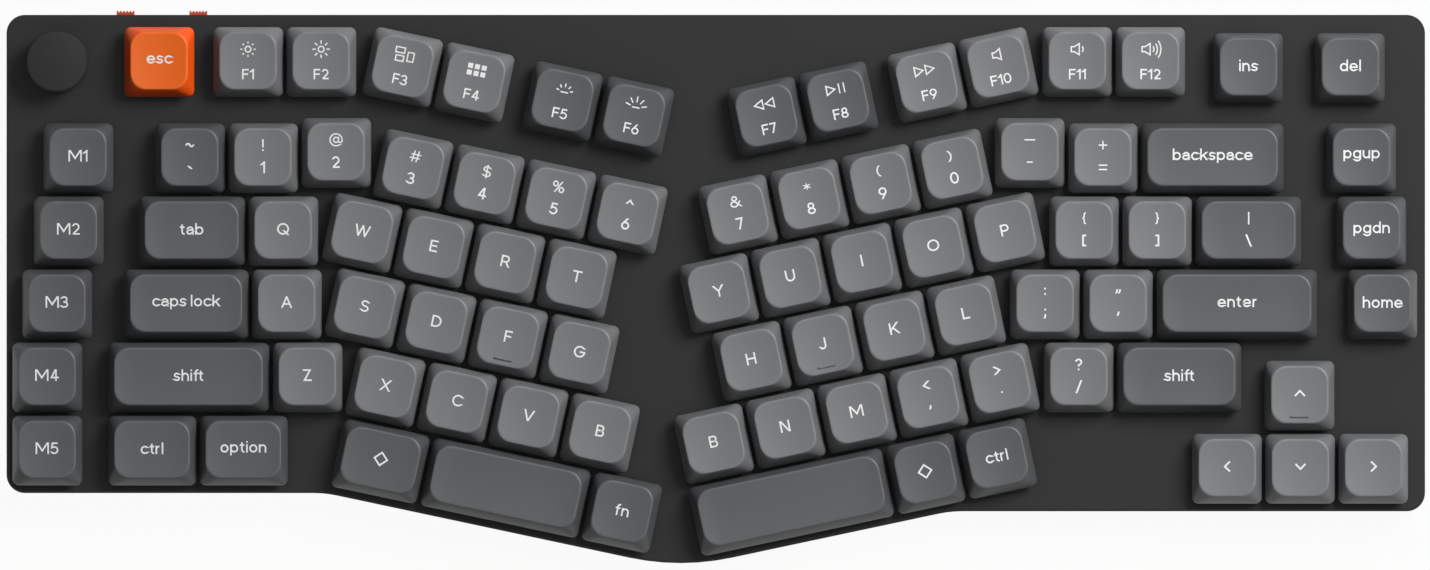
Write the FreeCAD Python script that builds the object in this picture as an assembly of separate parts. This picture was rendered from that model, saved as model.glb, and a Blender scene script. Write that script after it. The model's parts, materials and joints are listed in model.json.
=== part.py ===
import FreeCAD, Part
import math
import os
from FreeCAD import Placement, Rotation, Vector

# A low-profile gaming keyboard with two fanned key blocks, a knob, two slide switches and two feet.
# Everything on the deck is drawn in deck space: X right, Y to the rear, Z = 0 on the deck's top face.
# Deck space is then tilted so that the rear stands higher, and set over the desk at Z = 0.

# Key grid
PITCH = 19.05
CAP_GAP = 0.85
FAN_ANGLE = 12.0

# Keycap
CAP_TAPER = 1.6
CAP_REAR_SHIFT = 0.25
CAP_SKIRT_Z = 3.6
CAP_HEIGHT = 5.1
CAP_CEILING = 1.6
CAP_WALL = 1.2
SKIRT_CORNER = 1.7
TOP_CORNER = 4.2
DISH_RADIUS = 79.0
DISH_DEPTH = 0.35
TOP_EDGE = 0.45
SOCKET_DIAMETER = 5.6

# Switch
TRAVEL = 3.2
CUTOUT = 14.0
CUTOUT_CLEARANCE = 0.2
COLLAR = 15.0
COLLAR_HEIGHT = 0.8
COVER_HEIGHT = 2.1
COVER_BASE = 14.6
COVER_TOP = 12.0
STEM = 6.2
STEM_WALL = 0.7
STEM_TOP_Z = 3.3
STEM_CEILING = 0.8
STEM_CLEARANCE = 0.2
CROSS_SPAN = 4.0
CROSS_THICKNESS = 1.2
CROSS_HEIGHT = 3.4
CROSS_CLEARANCE = 0.05
BASE_FLOOR = 0.6
SPRING_DIAMETER = 4.4
SPRING_WIRE = 0.3
LED_LENGTH = 3.2
LED_WIDTH = 2.0
LED_HEIGHT = 1.1
LED_OFFSET = 5.2
LED_CLEARANCE = 0.4
HOT_SWAP_LENGTH = 10.6
HOT_SWAP_WIDTH = 4.2
HOT_SWAP_HEIGHT = 1.8
HOT_SWAP_OFFSET = 4.2
HOT_SWAP_STEP = 0.6

# Stabiliser under the long keys
STABILIZER_REACH = 11.94
STABILIZER_WIDTH = 7.4
STABILIZER_DEPTH = 12.0
STABILIZER_HEIGHT = 2.6
PLUNGER_WIDTH = 5.6
PLUNGER_DEPTH = 5.6
PLUNGER_BOTTOM_Z = -0.3
WIRE_RADIUS = 0.6
WIRE_BACK = 7.6
WIRE_Z = -2.75
WIRE_LEG = 7.6
WIRE_CLEARANCE = 0.3
WIRE_LUG_WALL = 0.3

# Case
DECK = 1.5
WALL = 2.0
TOP_CASE_DEPTH = 5.0
PARTING_GAP = 0.1
EDGE_CHAMFER = 0.5
UNDER_CHAMFER = 1.0
CORNER_RADIUS = 4.8
BEND_RADIUS = 30.0
NOSE_RADIUS = 64.0
REAR_MARGIN = 2.8
LEFT_MARGIN = 1.25
RIGHT_MARGIN = 1.75
FRONT_LEFT_MARGIN = 1.6
FRONT_RIGHT_MARGIN = 1.6
LEFT_BEND_X = -101.9
RIGHT_BEND_X = 61.2
TILT = 3.0
FRONT_THICKNESS = 10.4
FLOOR = 1.8
LIP = 1.0
LIP_CLEARANCE = 0.2
LIP_RISE = 1.0

# Inside
BOARD_TOP_Z = -4.0
BOARD = 1.2
BOARD_MARGIN = 0.5
SEAT_GAP = 0.05
FOAM_GAP = 0.1
FOAM_MARGIN = 0.4
CASE_FOAM = 1.2
BATTERY_LENGTH = 120.0
BATTERY_WIDTH = 34.0
BATTERY_THICKNESS = 3.8
BATTERY_X = 0.0
BATTERY_Y = 3.0

# Screws
SCREW_DIAMETER = 2.0
SCREW_LENGTH = 5.7
SCREW_HEAD_DIAMETER = 3.8
SCREW_HEAD_HEIGHT = 1.4
SCREW_SEAT = 2.35
SCREW_CLEARANCE = 0.3
POST_DIAMETER = 5.0
BOSS_DIAMETER = 6.4

# Knob and encoder
KNOB_DIAMETER = 15.8
KNOB_TOP_Z = 9.5
KNOB_BOTTOM_Z = 0.9
KNOB_EDGE = 0.45
KNOB_PRESS = 0.5
KNOB_ROOF = 2.0
KNOB_CROWN_RADIUS = 70.0
KNOB_X = -9.003
KNOB_Y = 3.1018
ENCODER_SIDE = 10.5
ENCODER_TOP_Z = 0.3
ENCODER_CLEARANCE = 0.2
ENCODER_WALL = 0.9
ROTOR_DIAMETER = 8.2
ROTOR_NECK = 6.6
SHAFT_DIAMETER = 4.0
SHAFT_FLAT = 1.3
SHAFT_CLEARANCE = 0.08

# Rear slide switches and cable inlet
SLIDER_WIDTH = 4.6
SLIDER_HEIGHT = 2.2
SLIDER_PROUD = 1.1
SLIDER_CLEARANCE = 0.2
SLIDER_OVERLAP = 0.6
SLIDER_FLANGE = 0.9
SLIDER_DROP = 0.5
GRIP_RIBS = 5
GRIP_DEPTH = 0.35
CONNECTION_X = -154.1
CONNECTION_LEFT = 2.0
CONNECTION_RIGHT = 2.0
SYSTEM_X = -135.1
SYSTEM_LEFT = 0.0
SYSTEM_RIGHT = 2.0
LEVER_WIDTH = 2.0
SWITCH_BOX_LENGTH = 11.0
SWITCH_BOX_DEPTH = 5.0
SWITCH_BOX_HEIGHT = 3.4
SWITCH_BOX_WALL = 0.6
SWITCH_BOX_GAP = 0.6
INLET_X = -115.0
INLET_WIDTH = 9.0
INLET_HEIGHT = 3.3
INLET_DEPTH = 7.3
INLET_SHELL = 0.33
INLET_BACK = 1.0
INLET_CLEARANCE = 0.15
TONGUE_WIDTH = 6.7
TONGUE_THICKNESS = 0.7
TONGUE_LENGTH = 5.2

# Underside
PAD_PROUD = 0.8
PAD_RECESS = 1.0
PAD_LENGTH = 40.0
PAD_WIDTH = 7.0
PAD_CLEARANCE = 0.1
PAD_CORNER = 3.0
FRONT_PAD_X = 138.0
REAR_PAD_X = 84.0
PAD_EDGE = 4.5
FOOT_X = 122.0
FOOT_WIDTH = 24.0
FOOT_LENGTH = 18.0
FOOT_THICKNESS = 3.5
FOOT_EDGE = 8.0
FOOT_CLEARANCE = 0.3
FOOT_PIN = 2.4
FOOT_PIN_REACH = 1.6
FOOT_PIN_CLEARANCE = 0.05
POCKET_WALL = 2.0
POCKET_ROOF = 1.2
NAIL_WIDTH = 12.0
NAIL_REACH = 3.0

# Heights of the key rows above the middle of the case, in key units
ROW_FUNCTION = 3.1018
ROW_NUMBER = 1.7848
ROW_NAVIGATION = 3.020
ROW_ARROWS = -2.4646
NUMBER_STEP = 0.072

# Straight rows: left edge, row height, then each key's name and width, all in key units
STRAIGHT_ROWS = [
    (-8.114, ROW_FUNCTION, [("escape", 1)]),
    (-6.897, ROW_FUNCTION, [("f1", 1), ("f2", 1)]),
    (4.445, ROW_FUNCTION, [("f11", 1), ("f12", 1)]),
    (-7.693, ROW_NUMBER, [("grave", 1), ("one", 1)]),
    (-5.693, ROW_NUMBER + NUMBER_STEP, [("two", 1)]),
    (3.795, ROW_NUMBER + NUMBER_STEP, [("minus", 1)]),
    (4.795, ROW_NUMBER, [("equal", 1), ("backspace", 2)]),
    (-7.918, ROW_NUMBER - 1, [("tab", 1.5), ("q", 1)]),
    (4.538, ROW_NUMBER - 1, [("left_bracket", 1), ("right_bracket", 1), ("backslash", 1.5)]),
    (-8.119, ROW_NUMBER - 2, [("caps_lock", 1.75), ("a", 1)]),
    (4.003, ROW_NUMBER - 2, [("semicolon", 1), ("quote", 1), ("enter", 2.25)]),
    (-8.336, ROW_NUMBER - 3, [("left_shift", 2.25), ("z", 1)]),
    (4.465, ROW_NUMBER - 3, [("slash", 1), ("right_shift", 1.75)]),
    (-8.335, ROW_NUMBER - 4, [("left_control", 1.25), ("left_option", 1.25)]),
    (-9.222, ROW_NUMBER, [("macro_one", 1)]),
    (-9.353, ROW_NUMBER - 1, [("macro_two", 1)]),
    (-9.511, ROW_NUMBER - 2, [("macro_three", 1)]),
    (-9.646, ROW_NUMBER - 3, [("macro_four", 1)]),
    (-9.646, ROW_NUMBER - 4, [("macro_five", 1)]),
    (6.785, ROW_NAVIGATION, [("insert", 1)]),
    (8.179, ROW_NAVIGATION, [("delete", 1)]),
    (8.332, ROW_NUMBER, [("page_up", 1)]),
    (8.469, ROW_NUMBER - 1, [("page_down", 1)]),
    (8.620, ROW_NUMBER - 2, [("home", 1)]),
    (7.488, ROW_ARROWS + 1, [("arrow_up", 1)]),
    (6.496, ROW_ARROWS, [("arrow_left", 1), ("arrow_down", 1), ("arrow_right", 1)]),
]

# Fanned rows: left edge along the fan, rows below the fan's number row, then the keys
LEFT_FAN_ORIGIN = (-4.142, 1.634)
LEFT_FAN_ROWS = [
    (-0.928, -1.333, [("f3", 1), ("f4", 1)]),
    (1.306, -1.333, [("f5", 1), ("f6", 1)]),
    (-0.5, 0, [("three", 1), ("four", 1), ("five", 1), ("six", 1)]),
    (-1.0, 1, [("w", 1), ("e", 1), ("r", 1), ("t", 1)]),
    (-0.75, 2, [("s", 1), ("d", 1), ("f", 1), ("g", 1)]),
    (-0.25, 3, [("x", 1), ("c", 1), ("v", 1), ("left_b", 1)]),
    (-0.23, 4, [("left_command", 1.25), ("left_space", 2.25), ("fn", 1)]),
]
RIGHT_FAN_ORIGIN = (0.303, 1.0147)
RIGHT_FAN_ROWS = [
    (0.1635, -1.227, [("f7", 1), ("f8", 1)]),
    (2.404, -1.227, [("f9", 1), ("f10", 1)]),
    (-0.5, 0, [("seven", 1), ("eight", 1), ("nine", 1), ("zero", 1)]),
    (-0.975, 1, [("y", 1), ("u", 1), ("i", 1), ("o", 1), ("p", 1)]),
    (-0.735, 2, [("h", 1), ("j", 1), ("k", 1), ("l", 1)]),
    (-1.473, 3, [("right_b", 1), ("n", 1), ("m", 1), ("comma", 1), ("period", 1)]),
    (-1.477, 4, [("right_space", 2.75), ("right_command", 1), ("right_control", 1)]),
]

# Keys that share a node and travel as one bank; every other key has a node of its own
BANKS = {
    "keys_macro": ["macro_one", "macro_two", "macro_three", "macro_four", "macro_five"],
    "keys_function_left": ["f1", "f2", "f3", "f4", "f5", "f6"],
    "keys_function_right": ["f7", "f8", "f9", "f10", "f11", "f12"],
    "keys_navigation": ["insert", "delete", "page_up", "page_down", "home"],
    "keys_numbers_left": ["grave", "one", "two", "three", "four", "five", "six"],
    "keys_numbers_right": ["seven", "eight", "nine", "zero", "minus", "equal"],
    "keys_letters_left": ["q", "e", "r", "t", "f", "g", "z", "x", "c", "v", "left_b"],
    "keys_letters_right": [
        "y", "u", "i", "o", "p", "left_bracket", "right_bracket", "h", "j", "k", "l",
        "semicolon", "quote", "right_b", "n", "m", "comma", "period", "slash",
    ],
}
LONG_KEYS = ["left_shift", "backspace", "enter", "left_space", "right_space"]

# Each case screw stands halfway between two keys
SCREWS_BETWEEN = [
    ("escape", "grave"), ("f3", "three"), ("f6", "six"), ("f8", "eight"), ("f11", "minus"),
    ("insert", "page_up"), ("home", "arrow_right"), ("macro_three", "caps_lock"),
    ("macro_five", "left_control"), ("left_option", "left_command"), ("left_b", "right_b"),
    ("right_control", "slash"), ("right_shift", "arrow_left"),
]

X_AXIS = Vector(1, 0, 0)
Z_AXIS = Vector(0, 0, 1)

# Cutting blocks run this far; a prism that is tilted later runs DEEP below the deck
REACH = 1000.0
DEEP = -100.0
OVERSHOOT = 1.0
NEAR = 0.01


def lay_out_keys():
    """Every key as name: (x, y, width in key units, turn in degrees), in deck space."""
    keys = {}
    for left, height, row in STRAIGHT_ROWS:
        for name, width in row:
            keys[name] = ((left + width / 2) * PITCH, height * PITCH, width, 0.0)
            left += width
    for origin, turn, rows in (
        (LEFT_FAN_ORIGIN, -FAN_ANGLE, LEFT_FAN_ROWS),
        (RIGHT_FAN_ORIGIN, FAN_ANGLE, RIGHT_FAN_ROWS),
    ):
        spin = Rotation(Z_AXIS, turn)
        for left, down, row in rows:
            for name, width in row:
                place = Vector(*origin) + spin.multVec(Vector(left + width / 2, -down, 0))
                keys[name] = (place.x * PITCH, place.y * PITCH, width, turn)
                left += width
    return keys


def box(width, depth, low, high, x=0.0, y=0.0):
    """A block centred on x, y that spans low to high in Z."""
    corner = Vector(x - width / 2, y - depth / 2, low)
    return Part.makeBox(width, depth, high - low, corner)


def disc(diameter, low, high, x=0.0, y=0.0):
    """An upright cylinder that spans low to high in Z."""
    return Part.makeCylinder(diameter / 2, high - low, Vector(x, y, low))


def rounded_wire(points, radii, z):
    """A closed wire through the points with a tangent arc of the given radius at each."""
    edges = []
    ends = []
    count = len(points)
    for i in range(count):
        here = Vector(points[i][0], points[i][1], z)
        before = Vector(points[i - 1][0], points[i - 1][1], z) - here
        after = Vector(points[(i + 1) % count][0], points[(i + 1) % count][1], z) - here
        half_turn = before.getAngle(after) / 2
        before.normalize()
        after.normalize()
        run = radii[i] / math.tan(half_turn)
        start = here + before * run
        end = here + after * run
        inward = (before + after).normalize()
        middle = here + inward * (radii[i] / math.sin(half_turn) - radii[i])
        ends.append((start, middle, end))
    for i in range(count):
        start, middle, end = ends[i]
        edges.append(Part.Arc(start, middle, end).toShape())
        edges.append(Part.LineSegment(end, ends[(i + 1) % count][0]).toShape())
    return Part.Wire(edges)


def rounded_rectangle(width, depth, radius, z, y=0.0):
    """A wire around a rectangle with rounded corners."""
    points = [
        (-width / 2, y - depth / 2),
        (width / 2, y - depth / 2),
        (width / 2, y + depth / 2),
        (-width / 2, y + depth / 2),
    ]
    return rounded_wire(points, [radius] * 4, z)


def at_key(shape, name):
    """A copy of a shape drawn about a key's centre, set at that key."""
    x, y, width, turn = KEYS[name]
    copy = shape.copy()
    copy.Placement = Placement(Vector(x, y, 0), Rotation(Z_AXIS, turn)).multiply(shape.Placement)
    return copy


def at_every_key(shapes):
    """Copies of the shapes at every key."""
    return [at_key(shape, name) for name in KEYS for shape in shapes]


def key_edge(name, side):
    """The outer edge of a straight key's grid cell: -1 is its left edge and 1 its right."""
    x, y, width, turn = KEYS[name]
    return x + side * width * PITCH / 2


def over_desk(shape):
    """A copy of a deck-space shape, tilted and raised into its place over the desk."""
    copy = shape.copy()
    copy.Placement = DECK_PLACE.multiply(shape.Placement)
    return copy


KEYS = lay_out_keys()
CAP_TOP_Z = CAP_SKIRT_Z + CAP_HEIGHT
CAP_CEILING_Z = CAP_TOP_Z - CAP_CEILING
BOARD_BOTTOM_Z = BOARD_TOP_Z - BOARD
CROSS_TOP_Z = STEM_TOP_Z + CROSS_HEIGHT
SCREW_SEAT_Z = BOARD_BOTTOM_Z - SEAT_GAP - SCREW_SEAT
RIM_Z = -TOP_CASE_DEPTH - PARTING_GAP

# The case's edges stand off the outermost key cells
REAR_Y = (ROW_FUNCTION + 0.5) * PITCH + REAR_MARGIN
LEFT_X = key_edge("macro_five", -1) - LEFT_MARGIN
RIGHT_X = key_edge("home", 1) + RIGHT_MARGIN
FRONT_LEFT_Y = (ROW_NUMBER - 4.5) * PITCH - FRONT_LEFT_MARGIN
FRONT_RIGHT_Y = (ROW_ARROWS - 0.5) * PITCH - FRONT_RIGHT_MARGIN
FAN_SLOPE = math.tan(math.radians(FAN_ANGLE))
NOSE_X = (LEFT_BEND_X + RIGHT_BEND_X) / 2 + (FRONT_LEFT_Y - FRONT_RIGHT_Y) / (2 * FAN_SLOPE)
NOSE_Y = FRONT_LEFT_Y - (NOSE_X - LEFT_BEND_X) * FAN_SLOPE
NOSE_TIP_Y = NOSE_Y + NOSE_RADIUS * (1 / math.cos(math.radians(FAN_ANGLE)) - 1)

# The deck's height over the desk where deck space has its origin
SINE = math.sin(math.radians(TILT))
COSINE = math.cos(math.radians(TILT))
DECK_HEIGHT = PAD_PROUD + FRONT_THICKNESS - NOSE_TIP_Y * SINE
DECK_PLACE = Placement(Vector(0, 0, DECK_HEIGHT), Rotation(X_AXIS, TILT))


def case_outline(inset, z):
    """The face inside the case's outline, drawn in by an inset."""
    points = [
        (LEFT_X, REAR_Y),
        (LEFT_X, FRONT_LEFT_Y),
        (LEFT_BEND_X, FRONT_LEFT_Y),
        (NOSE_X, NOSE_Y),
        (RIGHT_BEND_X, FRONT_RIGHT_Y),
        (RIGHT_X, FRONT_RIGHT_Y),
        (RIGHT_X, REAR_Y),
    ]
    corner = CORNER_RADIUS
    radii = [corner, corner, BEND_RADIUS, NOSE_RADIUS, BEND_RADIUS, corner, corner]
    wire = rounded_wire(points, radii, z)
    if inset:
        wire = wire.makeOffset2D(-inset)
    return Part.Face(wire)


def case_prism(inset, low, high):
    """The case's outline as a prism from low to high in deck space."""
    return case_outline(inset, low).extrude(Vector(0, 0, high - low))


def desk_slab(low, high):
    """Everything between two heights over the desk."""
    return box(REACH, REACH, low, high)


def screw_places():
    """The deck-space x, y of every case screw."""
    places = []
    for first, second in SCREWS_BETWEEN:
        x = (KEYS[first][0] + KEYS[second][0]) / 2
        y = (KEYS[first][1] + KEYS[second][1]) / 2
        places.append((x, y))
    return places


SCREWS = screw_places()
KNOB_CENTRE = (KNOB_X * PITCH, KNOB_Y * PITCH)


def cross(span, thickness, low, high, x=0.0):
    """The cross-shaped post, or the hole for it."""
    return box(span, thickness, low, high, x).fuse(box(thickness, span, low, high, x))


def post_offsets(name):
    """Where a key's cap is held: on its switch, and on both stabilisers of a long key."""
    if name in LONG_KEYS:
        return [0.0, -STABILIZER_REACH, STABILIZER_REACH]
    return [0.0]


def keycap(width_units, offsets):
    """A hollow cap with drawn-in sides, a dished top and a cross socket at each offset."""
    width = width_units * PITCH - CAP_GAP
    depth = PITCH - CAP_GAP
    skirt = rounded_rectangle(width, depth, SKIRT_CORNER, CAP_SKIRT_Z)
    top = rounded_rectangle(
        width - 2 * CAP_TAPER, depth - 2 * CAP_TAPER, TOP_CORNER, CAP_TOP_Z, CAP_REAR_SHIFT
    )
    cap = Part.makeLoft([skirt, top], True, True)
    dish_z = CAP_TOP_Z - DISH_DEPTH + DISH_RADIUS
    if width_units < 1.5:
        dish = Part.makeSphere(DISH_RADIUS, Vector(0, CAP_REAR_SHIFT, dish_z))
    else:
        start = Vector(-width, CAP_REAR_SHIFT, dish_z)
        dish = Part.makeCylinder(DISH_RADIUS, 2 * width, start, X_AXIS)
    cap = cap.cut(dish)
    rim = [edge for edge in cap.Edges if edge.BoundBox.ZMin > CAP_TOP_Z - DISH_DEPTH - 10 * NEAR]
    cap = cap.makeFillet(TOP_EDGE, rim)
    rise = (CAP_CEILING_Z - CAP_SKIRT_Z) / CAP_HEIGHT
    inset = CAP_WALL + CAP_TAPER * rise
    mouth = rounded_rectangle(
        width - 2 * CAP_WALL, depth - 2 * CAP_WALL, SKIRT_CORNER - CAP_WALL / 2, CAP_SKIRT_Z
    )
    ceiling = rounded_rectangle(
        width - 2 * inset, depth - 2 * inset, SKIRT_CORNER, CAP_CEILING_Z, CAP_REAR_SHIFT * rise
    )
    cap = cap.cut(Part.makeLoft([mouth, ceiling], True, True))
    hole_span = CROSS_SPAN + 2 * CROSS_CLEARANCE
    hole_thickness = CROSS_THICKNESS + 2 * CROSS_CLEARANCE
    socket_z = STEM_TOP_Z + STEM_CLEARANCE
    for x in offsets:
        cap = cap.fuse(disc(SOCKET_DIAMETER, socket_z, CAP_CEILING_Z, x))
        hole = cross(hole_span, hole_thickness, socket_z, CROSS_TOP_Z + STEM_CLEARANCE, x)
        cap = cap.cut(hole)
    return cap.removeSplitter()


def stem():
    """The switch's moving stem: an open square thimble with the cross post on top."""
    inner = STEM - 2 * STEM_WALL
    thimble = box(STEM, STEM, 0, STEM_TOP_Z).cut(box(inner, inner, 0, STEM_TOP_Z - STEM_CEILING))
    post = cross(CROSS_SPAN, CROSS_THICKNESS, STEM_TOP_Z, CROSS_TOP_Z)
    return thimble.fuse(post).removeSplitter()


def plunger(x):
    """The stabiliser's moving block, slotted for the wire, with its own cross post."""
    block = box(PLUNGER_WIDTH, PLUNGER_DEPTH, PLUNGER_BOTTOM_Z, STEM_TOP_Z, x)
    slot_width = 2 * (WIRE_RADIUS + WIRE_CLEARANCE)
    slot_top = WIRE_Z + TRAVEL + 2 * WIRE_RADIUS + WIRE_CLEARANCE
    slot_front = -PLUNGER_DEPTH / 2
    slot_rear = WIRE_LEG - WIRE_BACK + WIRE_RADIUS + WIRE_CLEARANCE
    slot = box(
        slot_width, slot_rear - slot_front, PLUNGER_BOTTOM_Z, slot_top, x, (slot_front + slot_rear) / 2
    )
    post = cross(CROSS_SPAN, CROSS_THICKNESS, STEM_TOP_Z, CROSS_TOP_Z, x)
    return block.cut(slot).fuse(post).removeSplitter()


def key_solids(name):
    """A key's cap, its stem, and the two stabiliser plungers of a long key."""
    offsets = post_offsets(name)
    solids = [CAPS[KEYS[name][2], len(offsets)], STEM_SHAPE]
    solids += [plunger(x) for x in offsets[1:]]
    return [at_key(solid, name) for solid in solids]


def switch_base():
    """The switch's lower housing: a cup through the deck with a collar resting on it."""
    side = CUTOUT - 2 * CUTOUT_CLEARANCE
    bore = STEM + 2 * STEM_CLEARANCE
    low = BOARD_TOP_Z + SEAT_GAP
    cup = box(side, side, low, 0).fuse(box(COLLAR, COLLAR, 0, COLLAR_HEIGHT))
    window_y = LED_OFFSET - LED_WIDTH / 2 - LED_CLEARANCE + side / 2
    window_top = low + LED_HEIGHT + LED_CLEARANCE
    window = box(LED_LENGTH + 2 * LED_CLEARANCE, side, low, window_top, 0, window_y)
    return cup.cut(box(bore, bore, low + BASE_FLOOR, COLLAR_HEIGHT)).cut(window).removeSplitter()


def switch_cover():
    """The switch's upper housing: a low four-sided hood with a square opening for the stem."""
    top_z = COLLAR_HEIGHT + COVER_HEIGHT
    low = Part.makePolygon(square_points(COVER_BASE, COLLAR_HEIGHT))
    high = Part.makePolygon(square_points(COVER_TOP, top_z))
    hood = Part.makeLoft([low, high], True, True)
    bore = STEM + 2 * STEM_CLEARANCE
    return hood.cut(box(bore, bore, COLLAR_HEIGHT, top_z))


def square_points(side, z):
    """The corners of a square, closed."""
    half = side / 2
    corners = [(-half, -half), (half, -half), (half, half), (-half, half), (-half, -half)]
    return [Vector(x, y, z) for x, y in corners]


def switch_spring():
    """The return spring, as the sleeve of space that its coils fill."""
    low = BOARD_TOP_Z + SEAT_GAP + BASE_FLOOR
    high = STEM_TOP_Z - STEM_CEILING
    return disc(SPRING_DIAMETER, low, high).cut(disc(SPRING_DIAMETER - 2 * SPRING_WIRE, low, high))


def hot_swap_socket():
    """The socket under the board that takes the switch's two pins."""
    high = BOARD_BOTTOM_Z - SEAT_GAP
    low = high - HOT_SWAP_HEIGHT
    half = HOT_SWAP_LENGTH / 2
    left = box(half, HOT_SWAP_WIDTH, low, high, -half / 2, HOT_SWAP_STEP - HOT_SWAP_OFFSET)
    right = box(half, HOT_SWAP_WIDTH, low, high, half / 2, -HOT_SWAP_STEP - HOT_SWAP_OFFSET)
    return left.fuse(right).removeSplitter()


def key_led():
    """The light under a key, on the board in the switch's window."""
    low = BOARD_TOP_Z + SEAT_GAP
    return box(LED_LENGTH, LED_WIDTH, low, low + LED_HEIGHT, 0, LED_OFFSET)


def stabilizer_housing(x):
    """A stabiliser's fixed housing, with the plunger's bore, the wire's slot and its bearing."""
    side = -math.copysign(1, x)
    low = BOARD_TOP_Z + SEAT_GAP
    block = box(STABILIZER_WIDTH, STABILIZER_DEPTH, low, STABILIZER_HEIGHT, x)
    lug_width = STABILIZER_WIDTH / 2 - WIRE_RADIUS - WIRE_CLEARANCE
    lug_x = x + side * (STABILIZER_WIDTH - lug_width) / 2
    lug_front = -WIRE_BACK - WIRE_RADIUS - WIRE_CLEARANCE - WIRE_LUG_WALL
    lug_top = -DECK - WIRE_CLEARANCE
    lug = box(lug_width, -lug_front, low, lug_top, lug_x, lug_front / 2)
    bore = box(
        PLUNGER_WIDTH + 2 * STEM_CLEARANCE,
        PLUNGER_DEPTH + 2 * STEM_CLEARANCE,
        PLUNGER_BOTTOM_Z - TRAVEL - STEM_CLEARANCE,
        STABILIZER_HEIGHT,
        x,
    )
    slot_low = WIRE_Z - WIRE_RADIUS - WIRE_CLEARANCE
    slot = box(
        2 * (WIRE_RADIUS + WIRE_CLEARANCE), STABILIZER_DEPTH / 2, slot_low, STABILIZER_HEIGHT,
        x, -STABILIZER_DEPTH / 4,
    )
    bearing = Part.makeCylinder(
        WIRE_RADIUS + WIRE_CLEARANCE / 2, STABILIZER_WIDTH, Vector(x, -WIRE_BACK, WIRE_Z), X_AXIS * side
    )
    return block.fuse(lug).cut(bore).cut(slot).cut(bearing).removeSplitter()


def stabilizer_wire():
    """The bent wire that keeps both ends of a long key level, raised as at rest."""
    rise = math.asin(TRAVEL / WIRE_LEG)
    along = Vector(0, math.cos(rise), math.sin(rise))
    left = Vector(-STABILIZER_REACH, -WIRE_BACK, WIRE_Z)
    right = Vector(STABILIZER_REACH, -WIRE_BACK, WIRE_Z)
    wire = Part.makeCylinder(WIRE_RADIUS, 2 * STABILIZER_REACH, left, X_AXIS)
    for corner in (left, right):
        wire = wire.fuse(Part.makeSphere(WIRE_RADIUS, corner))
        wire = wire.fuse(Part.makeCylinder(WIRE_RADIUS, WIRE_LEG, corner, along))
    return wire


def deck_openings(growth):
    """What passes through the deck: switches, stabilisers and the encoder, grown by a margin."""
    side = CUTOUT + 2 * growth
    cuts = at_every_key([box(side, side, -REACH, REACH)])
    house_width = STABILIZER_WIDTH + 2 * (CUTOUT_CLEARANCE + growth)
    house_depth = STABILIZER_DEPTH + 2 * (CUTOUT_CLEARANCE + growth)
    notch_width = 2 * (WIRE_RADIUS + WIRE_CLEARANCE + CUTOUT_CLEARANCE + growth)
    notch_reach = WIRE_BACK + WIRE_RADIUS + WIRE_CLEARANCE + growth
    for name in LONG_KEYS:
        for x in post_offsets(name)[1:]:
            house = box(house_width, house_depth, -REACH, REACH, x)
            notch = box(notch_width, notch_reach, -REACH, REACH, x, -notch_reach / 2)
            cuts += [at_key(house, name), at_key(notch, name)]
    encoder_side = ENCODER_SIDE + 2 * (ENCODER_CLEARANCE + growth)
    cuts.append(box(encoder_side, encoder_side, -REACH, REACH, *KNOB_CENTRE))
    return cuts


def top_case():
    """The metal top: deck, short wall, and a post down to the board at each screw."""
    shell = case_prism(0, -TOP_CASE_DEPTH, 0)
    edges = [edge for edge in shell.Edges if edge.BoundBox.ZMin > -NEAR]
    shell = shell.makeChamfer(EDGE_CHAMFER, edges)
    shell = shell.cut(case_prism(WALL, -TOP_CASE_DEPTH, -DECK))
    shell = shell.cut(deck_openings(0.0))
    posts = [disc(POST_DIAMETER, BOARD_TOP_Z + SEAT_GAP, -DECK, x, y) for x, y in SCREWS]
    shell = shell.fuse(posts)
    tip = SCREW_SEAT_Z + SCREW_LENGTH + SEAT_GAP
    holes = [disc(SCREW_DIAMETER + 2 * SEAT_GAP, -TOP_CASE_DEPTH, tip, x, y) for x, y in SCREWS]
    return shell.cut(holes).removeSplitter()


def rear_box(width, low, high, depth, x):
    """A block through the rear wall, from depth inside it to past its outer face."""
    length = depth + WALL + OVERSHOOT
    return box(width, length, low, high, x, REAR_Y + OVERSHOOT - length / 2)


SLIDERS = [
    (CONNECTION_X, CONNECTION_LEFT, CONNECTION_RIGHT),
    (SYSTEM_X, SYSTEM_LEFT, SYSTEM_RIGHT),
]
SLIDER_Z = RIM_Z - SLIDER_DROP - SLIDER_HEIGHT / 2
INLET_Z = BOARD_BOTTOM_Z - SEAT_GAP - INLET_HEIGHT / 2
UNDER_Z = PAD_PROUD
FLOOR_TOP_Z = UNDER_Z + FLOOR
FOOT_AXIS_Z = UNDER_Z + FOOT_THICKNESS / 2
DESK_REAR_Y = REAR_Y * COSINE
FOOT_AXIS_Y = DESK_REAR_Y - FOOT_EDGE
POCKET_TOP_Z = UNDER_Z + FOOT_THICKNESS + FOOT_CLEARANCE


def foot_pocket(side, growth, roof):
    """The space a folded foot lies in, or the block that its walls are cut from."""
    width = FOOT_WIDTH + 2 * (FOOT_CLEARANCE + growth)
    rear = FOOT_AXIS_Y + FOOT_THICKNESS / 2 + FOOT_CLEARANCE + growth
    front = FOOT_AXIS_Y + FOOT_THICKNESS / 2 - FOOT_LENGTH - FOOT_CLEARANCE - growth
    return box(width, rear - front, UNDER_Z, POCKET_TOP_Z + roof, side * FOOT_X, (rear + front) / 2)


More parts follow.
